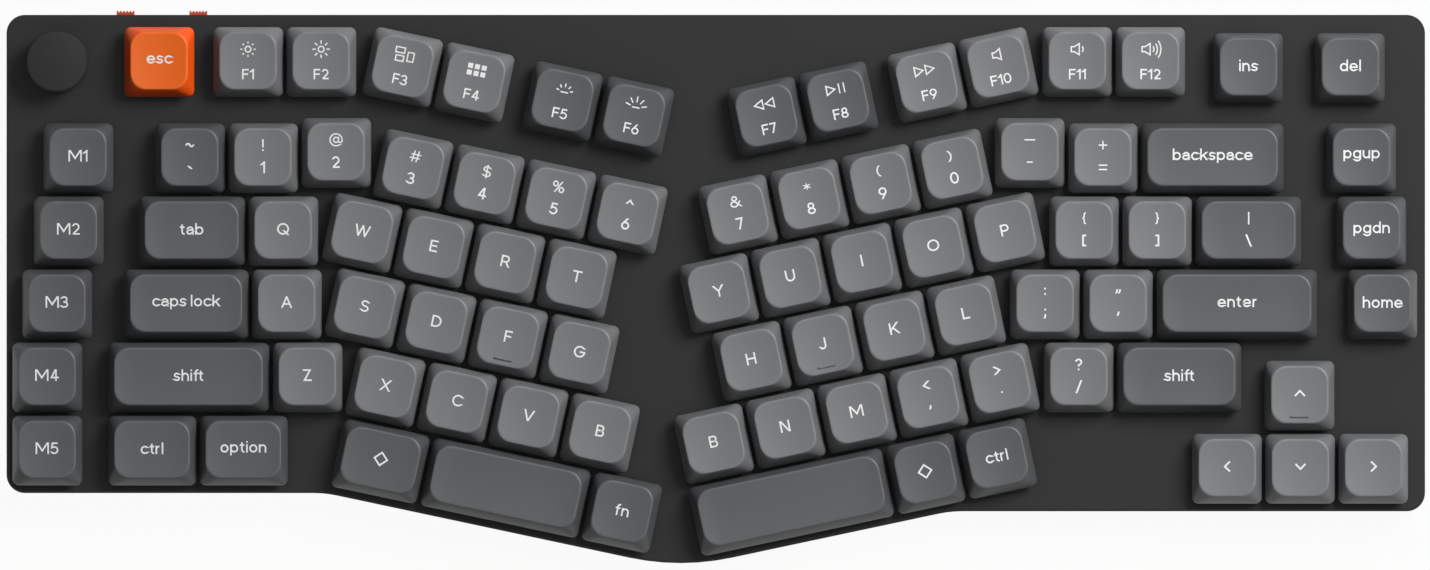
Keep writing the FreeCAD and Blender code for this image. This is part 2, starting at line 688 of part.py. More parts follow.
def nail_gap(side, growth, roof):
    """The shallow gap in front of a folded foot that a fingernail reaches into."""
    front = FOOT_AXIS_Y + FOOT_THICKNESS / 2 - FOOT_LENGTH - FOOT_CLEARANCE
    depth = NAIL_REACH + 2 * growth
    width = NAIL_WIDTH + 2 * growth
    return box(width, depth, UNDER_Z, POCKET_TOP_Z + roof, side * FOOT_X, front - NAIL_REACH / 2)


def foot_pins(side, clearance):
    """Both hinge pins of a foot, or the holes for them."""
    reach = FOOT_WIDTH / 2 + FOOT_PIN_REACH + clearance
    start = Vector(side * FOOT_X - reach, FOOT_AXIS_Y, FOOT_AXIS_Z)
    return Part.makeCylinder(FOOT_PIN / 2 + clearance, 2 * reach, start, X_AXIS)


def foot(side):
    """A fold-out foot, lying flat in its pocket, rounded about its hinge pins."""
    x = side * FOOT_X
    front = FOOT_AXIS_Y + FOOT_THICKNESS / 2 - FOOT_LENGTH
    length = FOOT_AXIS_Y - front
    plate = box(FOOT_WIDTH, length, UNDER_Z, UNDER_Z + FOOT_THICKNESS, x, front + length / 2)
    start = Vector(x - FOOT_WIDTH / 2, FOOT_AXIS_Y, FOOT_AXIS_Z)
    knuckle = Part.makeCylinder(FOOT_THICKNESS / 2, FOOT_WIDTH, start, X_AXIS)
    return plate.fuse([knuckle, foot_pins(side, 0.0)]).removeSplitter()


def pad_places():
    """The desk-space x, y of every pad."""
    front_left = FRONT_LEFT_Y * COSINE + PAD_EDGE + PAD_WIDTH / 2
    front_right = FRONT_RIGHT_Y * COSINE + PAD_EDGE + PAD_WIDTH / 2
    nose = NOSE_TIP_Y * COSINE + PAD_EDGE + PAD_WIDTH / 2
    rear = DESK_REAR_Y - PAD_EDGE - PAD_WIDTH / 2
    return [
        (-FRONT_PAD_X, front_left),
        (FRONT_PAD_X, front_right),
        (NOSE_X, nose),
        (-REAR_PAD_X, rear),
        (REAR_PAD_X, rear),
    ]


def pad(x, y, growth, low, high):
    """A rubber pad, or with growth the recess for it."""
    wire = rounded_rectangle(PAD_LENGTH + 2 * growth, PAD_WIDTH + 2 * growth, PAD_CORNER + growth, low)
    wire.translate(Vector(x, y, 0))
    return Part.Face(wire).extrude(Vector(0, 0, high - low))


def bottom_case():
    """The plastic bottom: a wedge-shaped tray with bosses, foot pockets and rear openings."""
    above_desk = desk_slab(UNDER_Z, REACH)
    outer = over_desk(case_prism(0, DEEP, RIM_Z)).common(above_desk)
    under = [edge for edge in outer.Edges if edge.BoundBox.ZMax < UNDER_Z + NEAR]
    outer = outer.makeChamfer(UNDER_CHAMFER, under)
    above_floor = desk_slab(FLOOR_TOP_Z, REACH)
    inner = over_desk(case_prism(WALL, DEEP, RIM_Z)).common(above_floor)
    tray = outer.cut(inner)
    ring_low = RIM_Z - LIP_RISE
    ring_high = RIM_Z + LIP_RISE
    ring = case_prism(WALL + LIP_CLEARANCE, RIM_Z, ring_high)
    ring = ring.fuse(case_prism(WALL - LIP_CLEARANCE, ring_low, RIM_Z))
    ring = ring.cut(case_prism(WALL + LIP_CLEARANCE + LIP, ring_low, ring_high))
    boss_top = BOARD_BOTTOM_Z - SEAT_GAP
    bosses = [disc(BOSS_DIAMETER, DEEP, boss_top, x, y) for x, y in SCREWS]
    raised = [over_desk(boss).common(above_desk) for boss in bosses]
    blocks = [foot_pocket(side, POCKET_WALL, POCKET_ROOF) for side in (-1, 1)]
    blocks += [nail_gap(side, POCKET_ROOF, POCKET_ROOF) for side in (-1, 1)]
    tray = tray.fuse([over_desk(ring)] + raised + blocks)
    well = SCREW_HEAD_DIAMETER + 2 * SCREW_CLEARANCE
    shaft = SCREW_DIAMETER + 2 * SEAT_GAP
    holes = []
    for x, y in SCREWS:
        holes.append(disc(well, DEEP, SCREW_SEAT_Z, x, y))
        holes.append(disc(shaft, DEEP, boss_top, x, y))
    slot_low = SLIDER_Z - SLIDER_HEIGHT / 2 - SLIDER_CLEARANCE
    slot_high = RIM_Z + 2 * LIP_RISE
    for x, left, right in SLIDERS:
        slot_width = SLIDER_WIDTH + left + right + 2 * SLIDER_CLEARANCE
        slot_x = x + (right - left) / 2
        holes.append(rear_box(slot_width, slot_low, slot_high, 0.0, slot_x))
        holes.append(flange_space(x, left, right, slot_low, slot_high))
    inlet_low = INLET_Z - INLET_HEIGHT / 2 - INLET_CLEARANCE
    inlet_width = INLET_WIDTH + 2 * INLET_CLEARANCE
    holes.append(rear_box(inlet_width, inlet_low, slot_high, INLET_DEPTH, INLET_X))
    cuts = [over_desk(hole) for hole in holes]
    for side in (-1, 1):
        cuts.append(foot_pocket(side, 0.0, 0.0))
        cuts.append(nail_gap(side, 0.0, 0.0))
        cuts.append(foot_pins(side, FOOT_PIN_CLEARANCE))
    for x, y in pad_places():
        cuts.append(pad(x, y, PAD_CLEARANCE, UNDER_Z - OVERSHOOT, UNDER_Z + PAD_RECESS))
    return tray.cut(cuts).removeSplitter()


def flange_width(left, right):
    """A slider's flange, wide enough to cover its slot at both ends of its travel."""
    return SLIDER_WIDTH + 2 * (left + right + SLIDER_CLEARANCE + SLIDER_OVERLAP)


def flange_space(x, left, right, low, high):
    """The room behind the rear wall that a slider's flange moves in."""
    width = flange_width(left, right) + left + right + 2 * SLIDER_CLEARANCE
    depth = SLIDER_FLANGE + 3 * SLIDER_CLEARANCE
    flange_drop = SLIDER_OVERLAP + SLIDER_CLEARANCE
    return box(width, depth, low - flange_drop, high, x + (right - left) / 2, REAR_Y - WALL - depth / 2)


def slider(x, left, right):
    """A slide switch's button: ribbed tip through the wall, flange behind it, lever into its box."""
    low = SLIDER_Z - SLIDER_HEIGHT / 2
    high = SLIDER_Z + SLIDER_HEIGHT / 2
    inside = REAR_Y - WALL - SLIDER_CLEARANCE
    tip_end = REAR_Y + SLIDER_PROUD
    tip = box(SLIDER_WIDTH, tip_end - inside, low, high, x, (tip_end + inside) / 2)
    groove_pitch = SLIDER_WIDTH / (GRIP_RIBS + 0.5)
    for i in range(GRIP_RIBS):
        groove_x = x + (i - (GRIP_RIBS - 1) / 2) * groove_pitch
        tip = tip.cut(box(groove_pitch / 2, 2 * GRIP_DEPTH, low, high, groove_x, tip_end))
    flange = box(
        flange_width(left, right), SLIDER_FLANGE, low - SLIDER_OVERLAP, high, x, inside - SLIDER_FLANGE / 2
    )
    lever_front = switch_box_rear() - SWITCH_BOX_DEPTH + 2 * SWITCH_BOX_WALL
    lever_rear = inside - SLIDER_FLANGE
    lever_low = low + SLIDER_CLEARANCE
    lever_high = high - SLIDER_CLEARANCE
    lever_y = (lever_rear + lever_front) / 2
    lever = box(LEVER_WIDTH, lever_rear - lever_front, lever_low, lever_high, x, lever_y)
    return tip.fuse([flange, lever]).removeSplitter()


def switch_box_rear():
    """Where the slide switches' boxes end, just inside the board's rear edge."""
    return REAR_Y - WALL - SLIDER_CLEARANCE - SLIDER_FLANGE - SWITCH_BOX_GAP


def slide_switch_box(x, left, right):
    """A slide switch's fixed box under the board, open to the rear for the lever."""
    high = BOARD_BOTTOM_Z - SEAT_GAP
    low = high - SWITCH_BOX_HEIGHT
    rear = switch_box_rear()
    shell = box(SWITCH_BOX_LENGTH, SWITCH_BOX_DEPTH, low, high, x, rear - SWITCH_BOX_DEPTH / 2)
    room_width = LEVER_WIDTH + left + right + 2 * SLIDER_CLEARANCE
    room_depth = SWITCH_BOX_DEPTH - SWITCH_BOX_WALL
    room_low = SLIDER_Z - SLIDER_HEIGHT / 2
    room_x = x + (right - left) / 2
    room = box(room_width, room_depth, room_low, room_low + SLIDER_HEIGHT, room_x, rear - room_depth / 2)
    return shell.cut(room)


def inlet_prism(shrink, depth):
    """A flat-sided slot with round ends along Y, ending flush with the case's rear."""
    height = INLET_HEIGHT - 2 * shrink
    wire = rounded_rectangle(INLET_WIDTH - 2 * shrink, height, height / 2 - NEAR, 0)
    prism = Part.Face(wire).extrude(Vector(0, 0, depth))
    prism.Placement = Placement(Vector(INLET_X, REAR_Y, INLET_Z), Rotation(X_AXIS, 90))
    return prism


def usb_c_socket():
    """The cable inlet: a thin metal shell, closed at the back, with its tongue."""
    shell = inlet_prism(0, INLET_DEPTH).cut(inlet_prism(INLET_SHELL, INLET_DEPTH - INLET_BACK))
    back = REAR_Y - INLET_DEPTH + INLET_BACK
    low = INLET_Z - TONGUE_THICKNESS / 2
    tongue = box(TONGUE_WIDTH, TONGUE_LENGTH, low, low + TONGUE_THICKNESS, INLET_X, back + TONGUE_LENGTH / 2)
    return shell.fuse(tongue).removeSplitter()


def circuit_board():
    """The board under the deck, with a hole at each screw."""
    inset = WALL + LIP_CLEARANCE + LIP + BOARD_MARGIN
    holes = [disc(SCREW_DIAMETER + 2 * SCREW_CLEARANCE, -REACH, REACH, x, y) for x, y in SCREWS]
    return case_prism(inset, BOARD_BOTTOM_Z, BOARD_TOP_Z).cut(holes)


def deck_foam():
    """The damping sheet between the deck and the board."""
    inset = WALL + LIP_CLEARANCE + LIP + BOARD_MARGIN
    sheet = case_prism(inset, BOARD_TOP_Z + FOAM_GAP, -DECK - FOAM_GAP)
    cuts = deck_openings(FOAM_MARGIN)
    bar_depth = 2 * (WIRE_RADIUS + 2 * FOAM_MARGIN)
    for name in LONG_KEYS:
        bar = box(2 * STABILIZER_REACH, bar_depth, -REACH, REACH, 0, -WIRE_BACK)
        cuts.append(at_key(bar, name))
    cuts += [disc(POST_DIAMETER + 2 * FOAM_MARGIN, -REACH, REACH, x, y) for x, y in SCREWS]
    return sheet.cut(cuts)


def battery():
    """The flat battery on the tray's floor."""
    low = FLOOR_TOP_Z + SEAT_GAP
    return box(BATTERY_LENGTH, BATTERY_WIDTH, low, low + BATTERY_THICKNESS, BATTERY_X, BATTERY_Y)


def case_foam():
    """The damping sheet on the tray's floor, cut out around everything that stands there."""
    inset = WALL + LIP_CLEARANCE + LIP + BOARD_MARGIN
    low = FLOOR_TOP_Z + FOAM_GAP
    sheet = over_desk(case_prism(inset, DEEP, RIM_Z)).common(desk_slab(low, low + CASE_FOAM))
    cuts = [over_desk(disc(BOSS_DIAMETER + 2 * FOAM_MARGIN, DEEP, 0, x, y)) for x, y in SCREWS]
    for side in (-1, 1):
        cuts.append(foot_pocket(side, POCKET_WALL + FOAM_MARGIN, POCKET_ROOF))
        cuts.append(nail_gap(side, POCKET_ROOF + FOAM_MARGIN, POCKET_ROOF))
    gap = 2 * FOAM_MARGIN
    cuts.append(box(BATTERY_LENGTH + gap, BATTERY_WIDTH + gap, 0, REACH, BATTERY_X, BATTERY_Y))
    return sheet.cut(cuts)


def case_screw(x, y):
    """A case screw, driven up from its well in the underside."""
    low = SCREW_SEAT_Z - SEAT_GAP
    head = disc(SCREW_HEAD_DIAMETER, low - SCREW_HEAD_HEIGHT, low, x, y)
    drive = disc(SCREW_DIAMETER, low - SCREW_HEAD_HEIGHT, low - SCREW_HEAD_HEIGHT / 2, x, y)
    return head.cut(drive).fuse(disc(SCREW_DIAMETER, low, low + SCREW_LENGTH, x, y)).removeSplitter()


def shaft_profile(diameter, flat, low, high):
    """A round shaft with one flat."""
    x, y = KNOB_CENTRE
    flat_cut = box(diameter, diameter, low, high, x, y + flat + diameter / 2)
    return disc(diameter, low, high, x, y).cut(flat_cut)


ENCODER_LOW_Z = BOARD_TOP_Z + SEAT_GAP
SHAFT_LOW_Z = ENCODER_LOW_Z + ENCODER_WALL + KNOB_PRESS + ENCODER_CLEARANCE
SHAFT_TOP_Z = KNOB_TOP_Z - KNOB_ROOF
ROTOR_LOW_Z = ENCODER_LOW_Z + ENCODER_WALL
ROTOR_SHOULDER_Z = ENCODER_TOP_Z - ENCODER_WALL


def encoder_body():
    """The encoder's fixed box, standing on the board and up through the deck."""
    x, y = KNOB_CENTRE
    block = box(ENCODER_SIDE, ENCODER_SIDE, ENCODER_LOW_Z, ENCODER_TOP_Z, x, y)
    room_diameter = ROTOR_DIAMETER + 2 * ENCODER_CLEARANCE
    room = disc(room_diameter, ROTOR_LOW_Z - ENCODER_CLEARANCE, ROTOR_SHOULDER_Z + ENCODER_CLEARANCE, x, y)
    mouth = disc(ROTOR_NECK + 2 * ENCODER_CLEARANCE, ROTOR_SHOULDER_Z, ENCODER_TOP_Z, x, y)
    return block.cut(room.fuse(mouth))


def encoder_rotor():
    """The encoder's turning part: a flange in the box, a neck, and a flatted bore."""
    x, y = KNOB_CENTRE
    turned = disc(ROTOR_DIAMETER, ROTOR_LOW_Z, ROTOR_SHOULDER_Z, x, y)
    turned = turned.fuse(disc(ROTOR_NECK, ROTOR_SHOULDER_Z, ENCODER_TOP_Z, x, y))
    bore = shaft_profile(SHAFT_DIAMETER + 2 * SHAFT_CLEARANCE, SHAFT_FLAT + SHAFT_CLEARANCE, -REACH, REACH)
    return turned.cut(bore).removeSplitter()


def encoder_shaft():
    """The flatted shaft that the knob is pressed on."""
    return shaft_profile(SHAFT_DIAMETER, SHAFT_FLAT, SHAFT_LOW_Z, SHAFT_TOP_Z)


def knob():
    """The knob, with a slightly crowned top, a small bevel round it and a flatted bore."""
    x, y = KNOB_CENTRE
    crown = Part.makeSphere(KNOB_CROWN_RADIUS, Vector(x, y, KNOB_TOP_Z - KNOB_CROWN_RADIUS))
    turned = disc(KNOB_DIAMETER, KNOB_BOTTOM_Z, KNOB_TOP_Z, x, y).common(crown)
    circles = [edge for edge in turned.Edges if edge.Length > KNOB_DIAMETER]
    rims = [edge for edge in circles if edge.BoundBox.ZMin > KNOB_BOTTOM_Z + KNOB_EDGE]
    turned = turned.makeChamfer(KNOB_EDGE, rims)
    bore = shaft_profile(SHAFT_DIAMETER + 2 * SEAT_GAP, SHAFT_FLAT + SEAT_GAP, 0.0, SHAFT_TOP_Z + SEAT_GAP)
    return turned.cut(bore)


# One cap shape for each width, and one stem, are drawn once and copied
CAPS = {}
for key_name, key_place in KEYS.items():
    cap_kind = (key_place[2], len(post_offsets(key_name)))
    if cap_kind not in CAPS:
        CAPS[cap_kind] = keycap(key_place[2], post_offsets(key_name))
STEM_SHAPE = stem()


def key_nodes():
    """Node names for all keys, each with the keys that it holds."""
    nodes = dict(BANKS)
    banked = [name for names in BANKS.values() for name in names]
    for name in KEYS:
        if name not in banked:
            nodes["key_" + name] = [name]
    return nodes


def deck_pieces():
    """Every node drawn in deck space, as a list of solids."""
    pieces = {
        "top_case": [top_case()],
        "deck_foam": [deck_foam()],
        "circuit_board": [circuit_board()],
        "switch_housings": at_every_key([switch_base(), switch_cover()]),
        "switch_springs": at_every_key([switch_spring()]),
        "hot_swap_sockets": at_every_key([hot_swap_socket()]),
        "key_leds": at_every_key([key_led()]),
        "stabilizer_housings": [
            at_key(stabilizer_housing(x), name) for name in LONG_KEYS for x in post_offsets(name)[1:]
        ],
        "knob": [knob()],
        "encoder_shaft": [encoder_shaft()],
        "encoder_rotor": [encoder_rotor()],
        "encoder_body": [encoder_body()],
        "connection_slider": [slider(*SLIDERS[0])],
        "system_slider": [slider(*SLIDERS[1])],
        "slide_switch_boxes": [slide_switch_box(*place) for place in SLIDERS],
        "usb_c_socket": [usb_c_socket()],
        "case_screws": [case_screw(x, y) for x, y in SCREWS],
    }
    wire = stabilizer_wire()
    for name in LONG_KEYS:
        pieces["wire_" + name] = [at_key(wire, name)]
    for node, names in key_nodes().items():
        pieces[node] = [solid for name in names for solid in key_solids(name)]
    return {node: [over_desk(solid) for solid in solids] for node, solids in pieces.items()}


def desk_pieces():
    """Every node drawn over the desk, as a list of solids."""
    pad_top = UNDER_Z + PAD_RECESS - SEAT_GAP
    return {
        "bottom_case": [bottom_case()],
        "battery": [battery()],
        "case_foam": [case_foam()],
        "left_foot": [foot(-1)],
        "right_foot": [foot(1)],
        "rubber_pads": [pad(x, y, 0.0, 0.0, pad_top) for x, y in pad_places()],
    }


PIECES = deck_pieces()
PIECES.update(desk_pieces())

# The origin is moved under the middle of the whole keyboard
OUTER_BOX = Part.makeCompound(
    PIECES["top_case"] + PIECES["bottom_case"] + PIECES["connection_slider"] + PIECES["system_slider"]
).optimalBoundingBox(False, False)
SHIFT = Vector(-(OUTER_BOX.XMin + OUTER_BOX.XMax) / 2, -(OUTER_BOX.YMin + OUTER_BOX.YMax) / 2, 0)

os.makedirs("parts", exist_ok=True)
for node_name, node_solids in PIECES.items():
    for solid in node_solids:
        solid.translate(SHIFT)
    shape = node_solids[0] if len(node_solids) == 1 else Part.makeCompound(node_solids)
    shape.exportStep("parts/" + node_name + ".step")
print(len(PIECES), "nodes,", len(KEYS), "keys, moved by", SHIFT)
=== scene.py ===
import json
import math

import bmesh
import bpy
from mathutils import Matrix, Vector


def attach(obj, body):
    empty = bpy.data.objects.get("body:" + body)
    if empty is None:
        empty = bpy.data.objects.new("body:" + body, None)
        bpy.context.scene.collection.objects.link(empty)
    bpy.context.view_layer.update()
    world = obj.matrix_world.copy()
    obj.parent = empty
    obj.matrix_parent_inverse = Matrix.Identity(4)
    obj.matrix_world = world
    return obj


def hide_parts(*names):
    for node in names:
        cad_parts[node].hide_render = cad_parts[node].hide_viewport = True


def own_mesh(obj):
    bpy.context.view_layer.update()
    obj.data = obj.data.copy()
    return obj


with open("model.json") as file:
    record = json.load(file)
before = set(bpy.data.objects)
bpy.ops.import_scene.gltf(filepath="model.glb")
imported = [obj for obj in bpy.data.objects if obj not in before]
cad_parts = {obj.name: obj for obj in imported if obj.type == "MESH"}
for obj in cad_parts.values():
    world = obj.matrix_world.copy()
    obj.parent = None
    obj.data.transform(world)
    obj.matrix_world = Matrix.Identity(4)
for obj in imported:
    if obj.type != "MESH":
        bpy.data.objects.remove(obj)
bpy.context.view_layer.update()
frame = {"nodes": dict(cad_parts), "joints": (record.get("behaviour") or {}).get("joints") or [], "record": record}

for name in ("Cube", "Light", "Camera"):
    if name in bpy.data.objects:
        bpy.data.objects.remove(bpy.data.objects[name])


# Bottom case: a wedge-shaped tray moulded in matte black plastic. It carries the board and is
# screwed up into the metal top. Its spark-eroded mould leaves a fine, even grain.

PATCH_RATE = 28
WELD = 1e-6


def maths(tree, operation, *parts):
    """The output of a maths node, whose inputs are other nodes' outputs or plain numbers."""
    node = tree.nodes.new("ShaderNodeMath")
    node.operation = operation
    for socket, part in zip(node.inputs, parts):
        if isinstance(part, bpy.types.NodeSocket):
            tree.links.new(part, socket)
        else:
            socket.default_value = part
    return node.outputs[0]


def grain_group():
    """Shader group: a fine grain with slow changes of tone and gloss over the surface."""
    group = bpy.data.node_groups.new("fine_grain", "ShaderNodeTree")
    sockets = (
        ("Colour", "NodeSocketColor", (0.5, 0.5, 0.5, 1)),
        ("Grain Size", "NodeSocketFloat", 0.0003),
        ("Tone", "NodeSocketFloat", 0.06),
        ("Roughness", "NodeSocketFloat", 0.5),
        ("Gloss Spread", "NodeSocketFloat", 0.1),
    )
    for title, kind, value in sockets:
        socket = group.interface.new_socket(title, in_out="INPUT", socket_type=kind)
        socket.default_value = value
    for title, kind in (("Colour", "NodeSocketColor"), ("Roughness", "NodeSocketFloat"),
                        ("Height", "NodeSocketFloat")):
        group.interface.new_socket(title, in_out="OUTPUT", socket_type=kind)
    make, link = group.nodes.new, group.links.new
    given = make("NodeGroupInput")
    out = make("NodeGroupOutput")
    where = make("ShaderNodeTexCoord").outputs["Object"]
    fine = make("ShaderNodeTexNoise")
    fine.inputs["Detail"].default_value = 2
    link(where, fine.inputs["Vector"])
    link(maths(group, "DIVIDE", 1, given.outputs["Grain Size"]), fine.inputs["Scale"])
    patches = make("ShaderNodeTexNoise")
    patches.inputs["Scale"].default_value = PATCH_RATE
    patches.inputs["Detail"].default_value = 3
    link(where, patches.inputs["Vector"])
    both = maths(group, "ADD", fine.outputs["Fac"], patches.outputs["Fac"])
    centred = maths(group, "SUBTRACT", both, 1)
    tinted = make("ShaderNodeVectorMath")
    tinted.operation = "SCALE"
    link(given.outputs["Colour"], tinted.inputs[0])
    link(maths(group, "MULTIPLY_ADD", centred, given.outputs["Tone"], 1), tinted.inputs["Scale"])
    link(tinted.outputs[0], out.inputs["Colour"])
    gloss = maths(group, "MULTIPLY_ADD", centred, given.outputs["Gloss Spread"],
                  given.outputs["Roughness"])
    link(gloss, out.inputs["Roughness"])
    link(fine.outputs["Fac"], out.inputs["Height"])
    return group


GRAIN = grain_group()


def grained(name, colour, roughness, grain=0.0003, depth=0.000012, tone=0.08, spread=0.12,
            metallic=0.0, specular=0.5):
    """A material whose colour, gloss and bump all come from the fine grain; lengths in metres."""
    material = bpy.data.materials.new(name)
    material.use_nodes = True
    nodes, link = material.node_tree.nodes, material.node_tree.links.new
    shader = nodes["Principled BSDF"]
    shader.inputs["Metallic"].default_value = metallic
    shader.inputs["Specular IOR Level"].default_value = specular
    pattern = nodes.new("ShaderNodeGroup")
    pattern.name = "grain"
    pattern.node_tree = GRAIN
    pattern.inputs["Colour"].default_value = (*colour, 1)
    pattern.inputs["Grain Size"].default_value = grain
    pattern.inputs["Tone"].default_value = tone
    pattern.inputs["Roughness"].default_value = roughness
    pattern.inputs["Gloss Spread"].default_value = spread
    bump = nodes.new("ShaderNodeBump")
    bump.name = "bump"
    bump.inputs["Distance"].default_value = depth
    link(pattern.outputs["Colour"], shader.inputs["Base Color"])
    link(pattern.outputs["Roughness"], shader.inputs["Roughness"])
    link(pattern.outputs["Height"], bump.inputs["Height"])
    link(bump.outputs["Normal"], shader.inputs["Normal"])
    return material


def new_piece(name, mesh, material=None):
    """A mesh object in the scene, at the origin."""
    piece = bpy.data.objects.new(name, mesh)
    bpy.context.scene.collection.objects.link(piece)
    if material:
        mesh.materials.clear()
        mesh.materials.append(material)
    return piece


def shade(mesh, degrees):
    """Smooth shading with sharp edges where faces turn by more than an angle."""
    mesh.polygons.foreach_set("use_smooth", [True] * len(mesh.polygons))
    mesh.set_sharp_from_angle(angle=math.radians(degrees))


def body_of_node(node):
    """The name of the CAD body that a node belongs to."""
    bodies = frame["record"]["behaviour"]["bodies"]
    return next(body for body, members in bodies.items() if node in members)


def merged(node):
    """A copy of a CAD node's mesh in a bmesh, its loose triangles joined and its stored normals
    dropped, and the mesh that takes it back."""
    mesh = frame["nodes"][node].data.copy()
    if "custom_normal" in mesh.attributes:
        mesh.attributes.remove(mesh.attributes["custom_normal"])
    work = bmesh.new()
    work.from_mesh(mesh)
    bmesh.ops.remove_doubles(work, verts=work.verts, dist=WELD)
    return work, mesh


def smoothed(node, name, material, degrees=28):
    """A merged, smooth-shaded copy of a CAD node that stands in its place."""
    work, mesh = merged(node)
    work.to_mesh(mesh)
    work.free()
    shade(mesh, degrees)
    piece = new_piece(name, mesh, material)
    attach(piece, body_of_node(node))
    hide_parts(node)
    return piece


tray_plastic = grained("tray_plastic", (0.015, 0.015, 0.0155), 0.55, grain=0.00035, depth=0.00002,
                       specular=0.25)
smoothed("bottom_case", "tray", tray_plastic)


# Rubber pads and fold-out feet. Five soft grey-black pads are glued into recesses under the
# case, and two plastic feet turn on pins moulded on their sides.

pad_rubber = grained("pad_rubber", (0.030, 0.030, 0.031), 0.85, grain=0.0005, depth=0.00003,
                     specular=0.3)
smoothed("rubber_pads", "pads", pad_rubber)
foot_plastic = grained("foot_plastic", (0.026, 0.026, 0.027), 0.48, grain=0.0004)
smoothed("left_foot", "foot_left", foot_plastic)
smoothed("right_foot", "foot_right", foot_plastic)


# Battery and foam: a flat lithium pouch in a taped silver wrap lies on the tray's floor, with
# an open-celled damping sheet round it and a second sheet under the deck.

def dress(node, material):
    """A carried-over CAD node gets its finished material."""
    frame["nodes"][node].material_slots[0].material = material


def foam_material(name, colour, cell):
    """Open-celled foam: round cells, darker at their bottoms."""
    material = grained(name, colour, 0.95, grain=cell, tone=0.25, specular=0.1)
    nodes, link = material.node_tree.nodes, material.node_tree.links.new
    cells = nodes.new("ShaderNodeTexVoronoi")
    cells.inputs["Scale"].default_value = 1 / cell
    where = nodes.new("ShaderNodeTexCoord")
    link(where.outputs["Object"], cells.inputs["Vector"])
    bump = nodes["bump"]
    bump.inputs["Distance"].default_value = cell / 3
    link(cells.outputs["Distance"], bump.inputs["Height"])
    return material


sheet_foam = foam_material("sheet_foam", (0.035, 0.035, 0.037), 0.0006)
dress("case_foam", sheet_foam)
dress("deck_foam", sheet_foam)
cell_wrap = grained("cell_wrap", (0.52, 0.53, 0.55), 0.34, grain=0.009, depth=0.0004, tone=0.05,
                    metallic=0.6)
dress("battery", cell_wrap)


# Circuit board: fibreglass under black solder mask, with copper tracks that show as faint
# raised lines. Sockets, lights, slide switches and the cable inlet are soldered to it.

TRACK_NET_RATE = 90
TRACK_WIDTH = 0.06
TRACK_HEIGHT = 0.00004
TRACK_TINT = (0.010, 0.030, 0.020)


def laid_over(tree, under, share, colour, blend="MIX"):
    """A colour laid over another one, by a share that differs over the surface."""
    mix = tree.nodes.new("ShaderNodeMix")
    mix.data_type = "RGBA"
    mix.blend_type = blend
    mix.inputs["B"].default_value = (*colour, 1)
    tree.links.new(under, mix.inputs["A"])
    tree.links.new(share, mix.inputs["Factor"])
    return mix.outputs["Result"]


def board_material():
    """Solder mask over tracks: a net of fine lines, raised and slightly lighter."""
    material = grained("solder_mask", (0.008, 0.020, 0.014), 0.32, grain=0.0008, depth=0.000004)
    tree = material.node_tree
    nodes, link = tree.nodes, tree.links.new
    tracks = nodes.new("ShaderNodeTexBrick")
    tracks.inputs["Scale"].default_value = TRACK_NET_RATE
    tracks.inputs["Mortar Size"].default_value = TRACK_WIDTH
    tracks.inputs["Color1"].default_value = (0, 0, 0, 1)
    tracks.inputs["Color2"].default_value = (0, 0, 0, 1)
    tracks.inputs["Mortar"].default_value = (1, 1, 1, 1)
    where = nodes.new("ShaderNodeTexCoord")
    link(where.outputs["Object"], tracks.inputs["Vector"])
    colour = laid_over(tree, nodes["grain"].outputs["Colour"], tracks.outputs["Color"], TRACK_TINT,
                       "ADD")
    link(colour, nodes["Principled BSDF"].inputs["Base Color"])
    bump = nodes["bump"]
    bump.inputs["Distance"].default_value = TRACK_HEIGHT
    link(tracks.outputs["Color"], bump.inputs["Height"])
    return material


dress("circuit_board", board_material())
black_nylon = grained("black_nylon", (0.016, 0.016, 0.017), 0.42, grain=0.0005)
dress("hot_swap_sockets", black_nylon)
dress("slide_switch_boxes", grained("drawn_steel", (0.55, 0.55, 0.56), 0.3, grain=0.0008,
                                    depth=0.000004, tone=0.05, metallic=1.0))
dress("key_leds", grained("lamp_resin", (0.80, 0.77, 0.66), 0.25, grain=0.0009, depth=0.000003))
shell_steel = grained("shell_steel", (0.50, 0.50, 0.51), 0.27, grain=0.0012, depth=0.000003,
                      tone=0.05, metallic=1.0)


# Case screws: thirteen black-zinc pan heads with a round recess. They are driven from wells in
# the underside through the tray and the board into posts of the metal top.

knob_joint = next(joint for joint in frame["joints"] if joint["name"] == "knob_turn")
PITCH = 19.05
KNOB_COLUMN = -9.003
ROW_FUNCTION = 3.1018
KNOB_AT = Vector((KNOB_COLUMN * PITCH, ROW_FUNCTION * PITCH, 0)) / 1000
TILT = math.atan2(-knob_joint["axis"][1], knob_joint["axis"][2])
TURNED = Matrix.Rotation(TILT, 4, "X")
DECK_ORIGIN = Vector(knob_joint["pos_m"]) - TURNED @ KNOB_AT
DECK = Matrix.Translation(DECK_ORIGIN) @ TURNED


def geometry_tree(name, wanted):
    """A Geometry Nodes tree that takes a geometry and named values, and gives a geometry."""
    tree = bpy.data.node_groups.new(name, "GeometryNodeTree")
    tree.is_modifier = True
    for title, kind in (("Geometry", "Geometry"), *wanted, ("Finish", "Material")):
        tree.interface.new_socket(title, in_out="INPUT", socket_type="NodeSocket" + kind)
    tree.interface.new_socket("Geometry", in_out="OUTPUT", socket_type="NodeSocketGeometry")
    return tree


